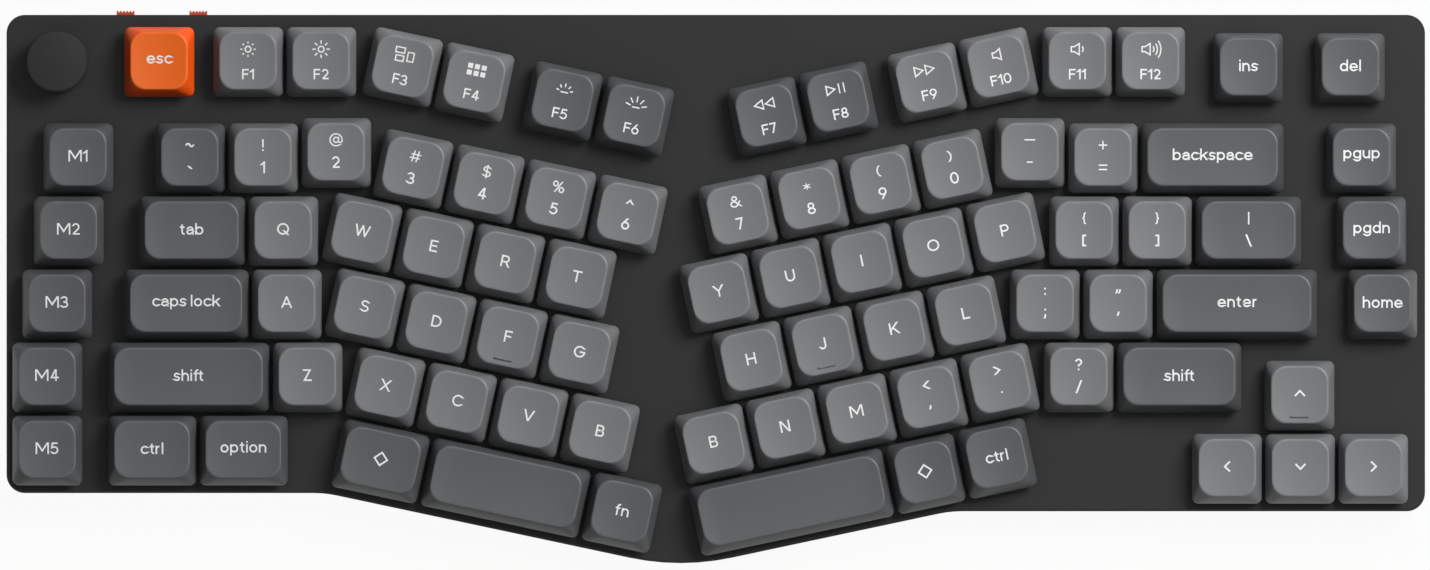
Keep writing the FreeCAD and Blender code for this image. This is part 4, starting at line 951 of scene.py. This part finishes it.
# Each sign's width and strokes in stroke widths, between stroke centres: capitals are six tall
SIGNS = {
    "A": (5.2, [[(0, 0), (2.6, 6.2), (5.2, 0)], [(1.2, 1.8), (4, 1.8)]]),
    "B": (4.1, [
        [(2.3, 3.1), *arc(2.3, 4.55, 1.45, 1.45, -90, 90), (0, 6), (0, 0),
         *arc(2.5, 1.55, 1.6, 1.55, -90, 90), (0, 3.1)],
    ]),
    "C": (5.2, [arc(3, 3, 3, 3, 52, 308)]),
    "D": (4.9, [[(0, 6), *arc(1.9, 3, 3, 3, 90, -90), (0, 0), (0, 6)]]),
    "E": (3.7, [[(3.7, 6), (0, 6), (0, 0), (3.7, 0)], [(0, 3.1), (3.3, 3.1)]]),
    "F": (3.5, [[(3.5, 6), (0, 6), (0, 0)], [(0, 3), (3.1, 3)]]),
    "G": (5.9, [[*arc(3, 3, 3, 3, 52, 350), (5.95, 2.9), (3.5, 2.9)]]),
    "H": (4.8, [[(0, 6), (0, 0)], [(4.8, 6), (4.8, 0)], [(0, 3.1), (4.8, 3.1)]]),
    "I": (0, [[(0, 6), (0, 0)]]),
    "J": (3.4, [[(3.4, 6), *arc(1.7, 1.7, 1.7, 1.7, 0, -150)]]),
    "K": (4.6, [[(0, 6), (0, 0)], [(4.3, 6), (0.1, 2)], [(1.9, 3.2), (4.6, 0)]]),
    "L": (3.5, [[(0, 6), (0, 0), (3.5, 0)]]),
    "M": (7, [[(0, 6), (0, 0)], [(7, 6), (7, 0)], [(0.5, 6), (3.5, 1.5), (6.5, 6)]]),
    "N": (4.9, [[(0, 6), (0, 0)], [(4.9, 6), (4.9, 0)], [(0.5, 6), (4.4, 0)]]),
    "O": (6.2, [ring(3.1, 3, 3.1, 3)]),
    "P": (4.1, [[(0, 0), *P_BOWL]]),
    "Q": (6.2, [ring(3.1, 3, 3.1, 3), [(3.9, 1.7), (5.8, -0.2)]]),
    "R": (4.4, [[(0, 0), *P_BOWL], [(2.5, 2.6), (4.3, 0)]]),
    "S": (4.2, [[*arc(2.1, 4.52, 1.85, 1.48, 42, 270), *arc(2.1, 1.52, 2.05, 1.52, 90, -140)]]),
    "T": (4.6, [[(0, 6), (4.6, 6)], [(2.3, 6), (2.3, 0)]]),
    "U": (4.8, [[(0, 6), *arc(2.4, 2.4, 2.4, 2.4, 180, 360), (4.8, 6)]]),
    "V": (5.2, [[(0, 6), (2.6, -0.2), (5.2, 6)]]),
    "W": (8, [[(0, 6), (2, -0.3), (4, 6.2), (6, -0.3), (8, 6)]]),
    "X": (4.8, [[(0, 0), (4.8, 6)], [(0, 6), (4.8, 0)]]),
    "Y": (5, [[(0, 6), (2.5, 2.8), (5, 6)], [(2.5, 2.8), (2.5, 0)]]),
    "Z": (4.4, [[(0.1, 6), (3.8, 6), (0.6, 0), (4.4, 0)]]),
    "a": (3.4, [[*arc(1.75, 2.5, 1.65, 1.5, 145, 0), (3.4, 0)],
                [(3.4, 2.35), (1.3, 2.35), *arc(1.25, 1.2, 1.25, 1.15, 90, 270), (1.9, 0.05),
                 (3.4, 1)]]),
    "b": (3.9, [[(0, 6), (0, 0)], ring(1.95, 2, 1.95, 2)]),
    "c": (3.5, [arc(2, 2, 2, 2, 56, 304)]),
    "d": (3.9, [[(3.9, 6), (3.9, 0)], ring(1.95, 2, 1.95, 2)]),
    "e": (4, [[(0, 1.95), *arc(2, 2, 2, 2, 0, 304)]]),
    "f": (2, [[(0.8, 0), *arc(2.1, 4.75, 1.3, 1.3, 180, 96)], [(0, 4), (1.9, 4)]]),
    "g": (3.9, [ring(1.95, 2, 1.95, 2), [(3.9, 4), *arc(2.0, -0.1, 1.9, 1.75, 0, -132)]]),
    "h": (3.5, [[(0, 6), (0, 0)], [(0, 2.25), *arc(1.75, 2.25, 1.75, 1.75, 180, 0), (3.5, 0)]]),
    "i": (0, [[(0, 4), (0, 0)], dot(0, 5.9)]),
    "k": (3.4, [[(0, 6), (0, 0)], [(3.1, 4), (0.2, 1.5)], [(1.6, 2.3), (3.4, 0)]]),
    "l": (0, [[(0, 6), (0, 0)]]),
    "m": (5.9, [[(0, 4), (0, 0)], [(0, 2.5), *arc(1.5, 2.5, 1.45, 1.5, 180, 0), (2.95, 0)],
                [(2.95, 2.5), *arc(4.45, 2.5, 1.45, 1.5, 180, 0), (5.9, 0)]]),
    "n": (3.5, [[(0, 4), (0, 0)], [(0, 2.25), *arc(1.75, 2.25, 1.75, 1.75, 180, 0), (3.5, 0)]]),
    "o": (3.9, [ring(1.95, 2, 1.95, 2)]),
    "p": (3.9, [[(0, 4), (0, -1.7)], ring(1.95, 2, 1.95, 2)]),
    "r": (1.7, [[(0, 4), (0, 0)], [(0, 2.3), *arc(1.6, 2.3, 1.6, 1.7, 180, 98)]]),
    "s": (2.9, [[*arc(1.45, 2.98, 1.3, 1.02, 48, 270), *arc(1.45, 1.0, 1.45, 0.98, 90, -132)]]),
    "t": (2, [[(0.8, 5.2), *arc(2.0, 1.2, 1.2, 1.2, 180, 262)], [(0, 4), (1.8, 4)]]),
    "u": (3.5, [[(0, 4), *arc(1.75, 1.75, 1.75, 1.75, 180, 360)], [(3.5, 4), (3.5, 0)]]),
    "1": (1.6, [[(1.6, 6), (1.6, 0)], [(0.1, 4.75), (1.3, 5.75)]]),
    "2": (3.8, [[*arc(1.9, 4.15, 1.75, 1.85, 148, -36), (0.3, 0), (3.8, 0)]]),
    "3": (3.7, [arc(1.75, 4.5, 1.6, 1.5, 138, -90), arc(1.75, 1.5, 1.95, 1.5, 90, -140)]),
    "4": (4.3, [[(3.1, 6), (3.1, 0)], [(2.65, 6), (0.35, 1.6), (4.3, 1.6)]]),
    "5": (3.8, [[(3.3, 6), (0.7, 6), (0.35, 3.3), *arc(1.8, 1.9, 2.0, 1.9, 128, -138)]]),
    "6": (3.9, [ring(1.95, 1.9, 1.95, 1.9), [(0.3, 2.9), (2.5, 6)]]),
    "7": (3.8, [[(0, 6), (3.4, 6), (1.2, 0)]]),
    "8": (3.9, [ring(1.95, 4.5, 1.55, 1.5), ring(1.95, 1.5, 1.95, 1.5)]),
    "9": (3.9, [ring(1.95, 4.1, 1.95, 1.9), [(3.6, 3.1), (1.4, 0)]]),
    "0": (4.2, [ring(2.1, 3, 2.1, 3)]),
    "~": (4, [[*arc(1, 2.8, 1, 0.8, 165, 0), *arc(3, 2.8, 1, 0.8, 180, 345)]]),
    "`": (1.1, [[(0.1, 5.9), (1, 5.1)]]),
    "!": (0, [[(0, 6), (0, 2.1)], dot(0, 0)]),
    "@": (7.2, [ring(3.6, 3, 1.5, 1.55), [
        (5.1, 4.4), (5.1, 2.5), *arc(6.15, 2.4, 1.05, 1.0, 180, 355),
        *arc(3.6, 3, 3.6, 3.6, 0, 305)]]),
    "#": (5.6, [[(1.2, 0), (2, 6)], [(3.7, 0), (4.5, 6)], [(0, 1.9), (5.1, 1.9)],
                [(0.6, 4.1), (5.7, 4.1)]]),
    "$": (4.6, [[*arc(2.3, 4.45, 2.0, 1.4, 38, 270), *arc(2.3, 1.6, 2.2, 1.45, 90, -142)],
                [(2.3, -0.6), (2.3, 6.6)]]),
    "%": (6.6, [ring(1.35, 4.6, 1.35, 1.4), ring(5.25, 1.4, 1.35, 1.4), [(4.9, 6), (1.7, 0)]]),
    "^": (3.2, [[(0, 4.2), (1.6, 6), (3.2, 4.2)]]),
    "&": (5.6, [[(5.6, 0), *arc(2.5, 4.75, 1.35, 1.25, 212, -38),
                 *arc(2.1, 1.6, 2.1, 1.6, 128, 312), (5.2, 2.7)]]),
    "*": (3.2, [[(1.6, 6.4), (1.6, 3.4)], [(0.3, 5.65), (2.9, 4.15)], [(0.3, 4.15), (2.9, 5.65)]]),
    "(": (1.2, [arc(3.0, 3, 3.0, 3.5, 125, 235)]),
    ")": (1.2, [arc(-1.8, 3, 3.0, 3.5, 55, -55)]),
    "_": (5.6, [[(0, 3), (5.6, 3)]]),
    "-": (2.8, [[(0, 3), (2.8, 3)]]),
    "+": (4.3, [[(0, 3), (4.3, 3)], [(2.15, 0.85), (2.15, 5.15)]]),
    "=": (4.3, [[(0, 1.8), (4.3, 1.8)], [(0, 4.4), (4.3, 4.4)]]),
    "{": (1.8, [BRACE]),
    "}": (1.8, mirrored(1.8, [BRACE])),
    "[": (1.4, [[(1.4, 5.9), (0, 5.9), (0, -0.1), (1.4, -0.1)]]),
    "]": (1.4, [[(0, 5.9), (1.4, 5.9), (1.4, -0.1), (0, -0.1)]]),
    "|": (0, [[(0, 6.2), (0, -0.4)]]),
    "\\": (2.6, [[(0, 6.2), (2.6, -0.2)]]),
    ":": (0, [dot(0, 3.6), dot(0, 0.4)]),
    ";": (0.5, [dot(0.4, 4.2), [(0.5, 0.9), (0.5, 0.3), (0.1, -0.6)]]),
    "\"": (2.1, [[(0.4, 6.1), (0.4, 5.4), (0, 4.6)], [(2.1, 6.1), (2.1, 5.4), (1.7, 4.6)]]),
    "'": (0.4, [[(0.4, 6.1), (0.4, 5.4), (0, 4.6)]]),
    "<": (2.9, [[(2.9, 5), (0.2, 3), (2.9, 1)]]),
    ">": (2.9, [[(0, 5), (2.7, 3), (0, 1)]]),
    ",": (0.4, [[(0.4, 0.5), (0.4, -0.2), (0, -1)]]),
    ".": (0, [dot(0, 0)]),
    "?": (3.3, [[*arc(1.65, 4.4, 1.6, 1.6, 150, -60), (1.65, 2.6), (1.65, 2.2)], dot(1.65, 0)]),
    "/": (2.6, [[(0, -0.4), (2.6, 6.4)]]),
}

# Signs with thinner strokes than a letter, and pairs of letters that stand closer or wider
FINE_SIGNS = {"*": 0.7, "@": 0.8, "#": 0.8, "%": 0.85, "&": 0.9, "+": 0.8, "=": 0.8, "_": 0.8,
              "-": 0.8, "|": 0.85, "{": 0.8, "}": 0.8, "(": 0.85, ")": 0.85, "$": 0.85}
KERNS = {"ft": -0.9, "tr": -0.3, "rl": 0.1}

# The stroke width of large and small letters in millimetres. The gaps between letters and words
# and a capital's mid-height are in stroke widths, and a word's strokes are a little lighter.
UNIT = 0.436
SMALL_UNIT = 0.386
LETTER_GAP = 0.85
WORD_GAP = 1.9
CAPITAL_MIDDLE = 3
WORD_WEIGHT = 0.95

# Signs of the function row, the arrows and two diamonds, in millimetres about their own middle
ICON_STROKE = 0.34
SQUARE_SIDE = 1.3
SUN_RING = 0.75
GLOW_ANGLES = (15, 52, 90, 128, 165)
GLOW_ACROSS, GLOW_UP = 1.5, 1.35
GLOW_DROP = 0.9
GLOW_BAR = 1.0
SUN_RAYS = [(math.cos(math.radians(a)), math.sin(math.radians(a))) for a in range(0, 360, 45)]
SPEAKER = [(-0.9, -0.65), (-0.1, -0.65), (1.2, -1.45), (1.2, 1.45), (-0.1, 0.65), (-0.9, 0.65),
           (-0.9, -0.65)]
FORWARD = [(-1.1, -1.2), (1.1, 0), (-1.1, 1.2), (-1.1, -1.2)]


def moved(strokes, right, up=0.0, scale=1.0):
    """Strokes scaled and moved."""
    return [[(scale * x + right, scale * y + up) for x, y in stroke] for stroke in strokes]


def sun(near, far):
    """A small ring with eight rays."""
    rays = [[(near * x, near * y), (far * x, far * y)] for x, y in SUN_RAYS]
    return [ring(0, 0, SUN_RING, SUN_RING)] + rays


def glow(far):
    """Five rays over a short bar."""
    rays = []
    for angle in GLOW_ANGLES:
        x, y = math.cos(math.radians(angle)), math.sin(math.radians(angle))
        rays.append([(GLOW_ACROSS * x, GLOW_UP * y - GLOW_DROP), (far * x, far * y - GLOW_DROP)])
    return rays + [[(-GLOW_BAR, -GLOW_DROP), (GLOW_BAR, -GLOW_DROP)]]


def frame_of(left, low, right, high):
    """A closed rectangle."""
    return [(left, low), (right, low), (right, high), (left, high), (left, low)]


SPEAKER_WAVES = [arc(1.3, 0, 0.9 * n, 1.1 * n, -42, 42) for n in (1, 2, 3)]
BACKWARD = mirrored(0, [FORWARD])
CHEVRON_UP = [(-1.3, -0.68), (0, 0.68), (1.3, -0.68)]
CHEVRON_LEFT = [(0.68, 1.3), (-0.68, 0), (0.68, -1.3)]
DIAMOND = [(0, -1.7), (1.7, 0), (0, 1.7), (-1.7, 0), (0, -1.7)]
ICONS = {
    "f1": sun(1.5, 2.0),
    "f2": sun(1.4, 2.3),
    "f3": [frame_of(-2.6, 0.35, -0.25, 1.75), frame_of(-2.3, -1.8, -0.25, -0.4),
           frame_of(0.7, -1.5, 2.3, 0.85)],
    "f4": [[(x - 0.65, y), (x + 0.65, y)] for x in (-1.8, 0, 1.8) for y in (-0.9, 0.9)],
    "f5": glow(2.3),
    "f6": glow(2.9),
    "f7": moved(BACKWARD, -1.45) + moved(BACKWARD, 1.45),
    "f8": moved([FORWARD], -1.3) + [[(0.9, -1.3), (0.9, 1.3)], [(2.2, -1.3), (2.2, 1.3)]],
    "f9": moved([FORWARD], -1.45) + moved([FORWARD], 1.45),
    "f10": [SPEAKER],
    "f11": moved([SPEAKER, SPEAKER_WAVES[0]], -0.7),
    "f12": moved([SPEAKER, *SPEAKER_WAVES], -1.3),
    "arrow_up": [CHEVRON_UP],
    "arrow_down": [[(x, -y) for x, y in CHEVRON_UP]],
    "arrow_left": [CHEVRON_LEFT],
    "arrow_right": mirrored(0, [CHEVRON_LEFT]),
    "left_command": [DIAMOND],
    "right_command": [DIAMOND],
}

# Words, and the upper and lower sign of the keys that carry two
WORDS = {
    "escape": "esc", "tab": "tab", "caps_lock": "caps lock", "left_shift": "shift",
    "right_shift": "shift", "left_control": "ctrl", "right_control": "ctrl",
    "left_option": "option", "fn": "fn", "insert": "ins", "delete": "del", "page_up": "pgup",
    "page_down": "pgdn", "home": "home", "enter": "enter", "backspace": "backspace",
    "macro_one": "M1", "macro_two": "M2", "macro_three": "M3", "macro_four": "M4",
    "macro_five": "M5", "left_b": "B", "right_b": "B",
}
PAIRS = {
    "grave": "~`", "one": "!1", "two": "@2", "three": "#3", "four": "$4", "five": "%5",
    "six": "^6", "seven": "&7", "eight": "*8", "nine": "(9", "zero": ")0", "minus": "_-",
    "equal": "+=", "left_bracket": "{[", "right_bracket": "}]", "backslash": "|\\",
    "semicolon": ":;", "quote": "\"'", "comma": "<,", "period": ">.", "slash": "?/",
}

# How high each kind of legend's middle stands above the cap's centre
MIDDLE_RISE = 0.62
UPPER_RISE = 3.4
LOWER_DROP = -2.4
ICON_RISE = 3.3
ICON_TEXT_DROP = -3.2


def text_strokes(text, unit):
    """A word's strokes in millimetres about its middle. A single letter or figure is centred by
    the height of a capital, so that a row of them stands level."""
    strokes = []
    pen = 0
    for letter, following in zip(text, text[1:] + " "):
        if letter == " ":
            pen += WORD_GAP
            continue
        width, shapes = SIGNS[letter]
        strokes += moved(shapes, pen)
        pen += width + 1 + LETTER_GAP + KERNS.get(letter + following, 0)
    xs = [x for stroke in strokes for x, y in stroke]
    ys = [y for stroke in strokes for x, y in stroke]
    middle_x = (min(xs) + max(xs)) / 2
    single = len(text) == 1 and text.isalnum()
    middle_y = CAPITAL_MIDDLE if single else (min(ys) + max(ys)) / 2
    return moved(strokes, -middle_x * unit, -middle_y * unit, unit)


def legends_of(key):
    """What stands on a key: each stroke in millimetres about the cap's centre, its width, and
    whether its ends are cut level."""
    drawn = []
    if key in PAIRS:
        for sign, rise in zip(PAIRS[key], (UPPER_RISE, LOWER_DROP)):
            width = UNIT * FINE_SIGNS.get(sign, 1)
            drawn += [(stroke, width, True) for stroke in moved(text_strokes(sign, UNIT), 0, rise)]
    elif key in ICONS:
        function = key[0] == "f"
        width = {"f4": SQUARE_SIDE}.get(key, ICON_STROKE if function else UNIT)
        rise = ICON_RISE if function else MIDDLE_RISE
        drawn += [(stroke, width, False) for stroke in moved(ICONS[key], 0, rise)]
        if function:
            name = moved(text_strokes(key.upper(), SMALL_UNIT), 0, ICON_TEXT_DROP)
            drawn += [(stroke, SMALL_UNIT, True) for stroke in name]
    elif key in WORDS or len(key) == 1:
        word = moved(text_strokes(WORDS.get(key, key.upper()), UNIT), 0, MIDDLE_RISE)
        width = UNIT * (WORD_WEIGHT if key in WORDS else 1)
        drawn += [(stroke, width, True) for stroke in word]
    return drawn


MITRE_LIMIT = 2.35
STEEP = 0.35
SAME_POINT = 1e-4


def stroke_edges(points, half, closed, level):
    """The left and right edges of a stroke. Sharp outer corners are cut flat, and level ends are
    cut along the writing line or upright, half a stroke past the path's end."""
    lefts, rights = [], []
    for n, here in enumerate(points):
        before = points[n - 1] if n or closed else None
        behind = n == len(points) - 1
        after = points[(n + 1) % len(points)] if closed or not behind else None
        into = (here - before).normalized() if before else (after - here).normalized()
        away = (after - here).normalized() if after else into
        side_in, side_out = Vector((-into.y, into.x)), Vector((-away.y, away.x))
        across = (side_in + side_out).normalized()
        reach = half / across.dot(side_in)
        if reach > MITRE_LIMIT * half:
            inner, outer = (lefts, rights) if into.cross(away) > 0 else (rights, lefts)
            sign = 1 if inner is lefts else -1
            inner += [here + sign * reach * across] * 2
            outer += [here - sign * half * side_in, here - sign * half * side_out]
            continue
        for edge, sign in ((lefts, 1), (rights, -1)):
            corner = here + sign * reach * across
            if level and not (before and after):
                outward = into if before else -away
                axis = 1 if abs(outward.y) > STEEP else 0
                target = here[axis] + math.copysign(half, outward[axis])
                corner += outward * (target - corner[axis]) / outward[axis]
            edge.append(corner)
    return lefts, rights


def bar(work, path, width, low, high, key, level=False):
    """A square-edged stroke along a path on a key's top, from low to high about its surface."""
    x, y, turn, units = KEYS[key]
    place = Matrix.Translation((x, y, 0)) @ Matrix.Rotation(math.radians(turn), 4, "Z")
    closed = path[0] == path[-1]
    points = [Vector(point) for point in (path[:-1] if closed else path)]
    points = [point for n, point in enumerate(points)
              if n == 0 or (point - points[n - 1]).length > SAME_POINT]
    stations = []
    for left, right in zip(*stroke_edges(points, width / 2, closed, level)):
        station = []
        for spot, lift in ((left, high), (right, high), (right, low), (left, low)):
            z = CAP_TOP - dish_drop(spot.x, spot.y, units) + lift
            station.append(work.verts.new(DECK @ ((place @ Vector((spot.x, spot.y, z))) / 1000)))
        stations.append(station)
    skin(work, stations, closed)


LEGEND_LOW = -0.08
LEGEND_HIGH = 0.02
STROKE_STEP = 0.002
LEGEND_WELD = 1e-7
legend_white = grained("legend_white", (0.80, 0.80, 0.81), 0.50, grain=0.00024, depth=0.000004,
                       tone=0.04)
for node, keys in GROUPS.items():
    work = bmesh.new()
    for key in keys:
        for number, (stroke, width, level) in enumerate(legends_of(key)):
            bar(work, stroke, width, LEGEND_LOW, LEGEND_HIGH + number * STROKE_STEP, key, level)
    if not work.verts:
        work.free()
        continue
    bmesh.ops.remove_doubles(work, verts=work.verts, dist=LEGEND_WELD)
    bmesh.ops.recalc_face_normals(work, faces=work.faces)
    mesh = bpy.data.meshes.new("legends")
    work.to_mesh(mesh)
    work.free()
    legends = new_piece(node.replace("key", "legend", 1), mesh, legend_white)
    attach(legends, node)


# Homing bars: the F, J and up-arrow caps have a low bar near the front of the dish, moulded with
# the cap, so that a finger finds them. Its long edges are rounded over.

BAR_HALF = 2.35
BAR_Y = -5.35
BAR_WIDTH = 0.5
BAR_LOW = -0.1
BAR_HEIGHT = 0.5
BAR_EDGE = 0.08
BAR_KEYS = {"f": "keys_letters_left", "j": "keys_letters_right", "arrow_up": "key_arrow_up"}
for key, node in BAR_KEYS.items():
    work = bmesh.new()
    path = [(BAR_HALF * step / 4, BAR_Y) for step in range(-4, 5)]
    bar(work, path, BAR_WIDTH, BAR_LOW, BAR_HEIGHT, key)
    bmesh.ops.recalc_face_normals(work, faces=work.faces)
    sharp = [edge for edge in work.edges if edge.calc_face_angle() > 1]
    bmesh.ops.bevel(work, geom=sharp, offset=BAR_EDGE / 1000, segments=2, affect="EDGES")
    homing = new_piece("homing_bar_" + key, mesh_of(work, "homing_bar", 40), CAP_FINISHES["light"])
    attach(homing, node)


# Studio: a white floor and sky, one large soft lamp high at the rear right, and a long lens
# that looks straight down on the deck.

FLOOR_HALF = 4.0
FLOOR_DROP = 0.0001
FLOOR_GLOW = 0.95
FLOOR_CORNERS = [(-FLOOR_HALF, -FLOOR_HALF, -FLOOR_DROP), (FLOOR_HALF, -FLOOR_HALF, -FLOOR_DROP),
                 (FLOOR_HALF, FLOOR_HALF, -FLOOR_DROP), (-FLOOR_HALF, FLOOR_HALF, -FLOOR_DROP)]
floor_mesh = bpy.data.meshes.new("floor")
floor_mesh.from_pydata(FLOOR_CORNERS, [], [(0, 1, 2, 3)])


def seen_directly(tree):
    """One for rays from the camera, a mirror or glass, else zero."""
    rays = tree.nodes.new("ShaderNodeLightPath")
    straight = maths(tree, "MAXIMUM", rays.outputs["Is Camera Ray"], rays.outputs["Is Glossy Ray"])
    return maths(tree, "MAXIMUM", straight, rays.outputs["Is Transmission Ray"])


paper = bpy.data.materials.new("studio_paper")
paper.use_nodes = True
tree = paper.node_tree
surface = tree.nodes["Principled BSDF"]
surface.inputs["Base Color"].default_value = (0.5, 0.5, 0.5, 1)
surface.inputs["Roughness"].default_value = 0.9
white = tree.nodes.new("ShaderNodeEmission")
either = tree.nodes.new("ShaderNodeMixShader")
tree.links.new(maths(tree, "MULTIPLY", seen_directly(tree), FLOOR_GLOW), either.inputs["Fac"])
tree.links.new(surface.outputs["BSDF"], either.inputs[1])
tree.links.new(white.outputs["Emission"], either.inputs[2])
tree.links.new(either.outputs["Shader"], tree.nodes["Material Output"].inputs["Surface"])
floor = new_piece("floor", floor_mesh, paper)

SKY_FILL = 0.085
world = bpy.data.worlds.new("studio")
bpy.context.scene.world = world
world.use_nodes = True
tree = world.node_tree
sky = tree.nodes["Background"]
sky.inputs["Color"].default_value = (1, 1, 1, 1)
strength = tree.nodes.new("ShaderNodeMapRange")
strength.inputs["To Min"].default_value = SKY_FILL
strength.inputs["To Max"].default_value = 1
tree.links.new(seen_directly(tree), strength.inputs["Value"])
tree.links.new(strength.outputs["Result"], sky.inputs["Strength"])

LAMP_DISTANCE = 1.6
LAMP_FROM = Vector((0.55, 0.42, 0.86)).normalized()
LAMP_ACROSS = 0.8
LAMP_WATTS = 31
lamp_data = bpy.data.lights.new("soft_lamp", "AREA")
lamp_data.shape = "DISK"
lamp_data.size = LAMP_ACROSS
lamp_data.energy = LAMP_WATTS
lamp = bpy.data.objects.new("soft_lamp", lamp_data)
bpy.context.scene.collection.objects.link(lamp)
lamp.location = LAMP_FROM * LAMP_DISTANCE
lamp.rotation_euler = LAMP_FROM.to_track_quat("Z", "Y").to_euler()

VIEW_WIDTH = 0.3730
SENSOR_WIDTH = 36
CAMERA_DISTANCE = 6.7
CAMERA_SHIFT = (-0.00020, 0.00095)
camera_data = bpy.data.cameras.new("camera")
camera_data.sensor_width = SENSOR_WIDTH
camera_data.lens = SENSOR_WIDTH * CAMERA_DISTANCE / VIEW_WIDTH
camera = bpy.data.objects.new("camera", camera_data)
bpy.context.scene.collection.objects.link(camera)
camera.location = DECK @ Vector((*CAMERA_SHIFT, CAMERA_DISTANCE))
camera.rotation_euler = (TILT, 0, 0)
bpy.context.scene.camera = camera
bpy.context.scene.view_settings.view_transform = "Standard"
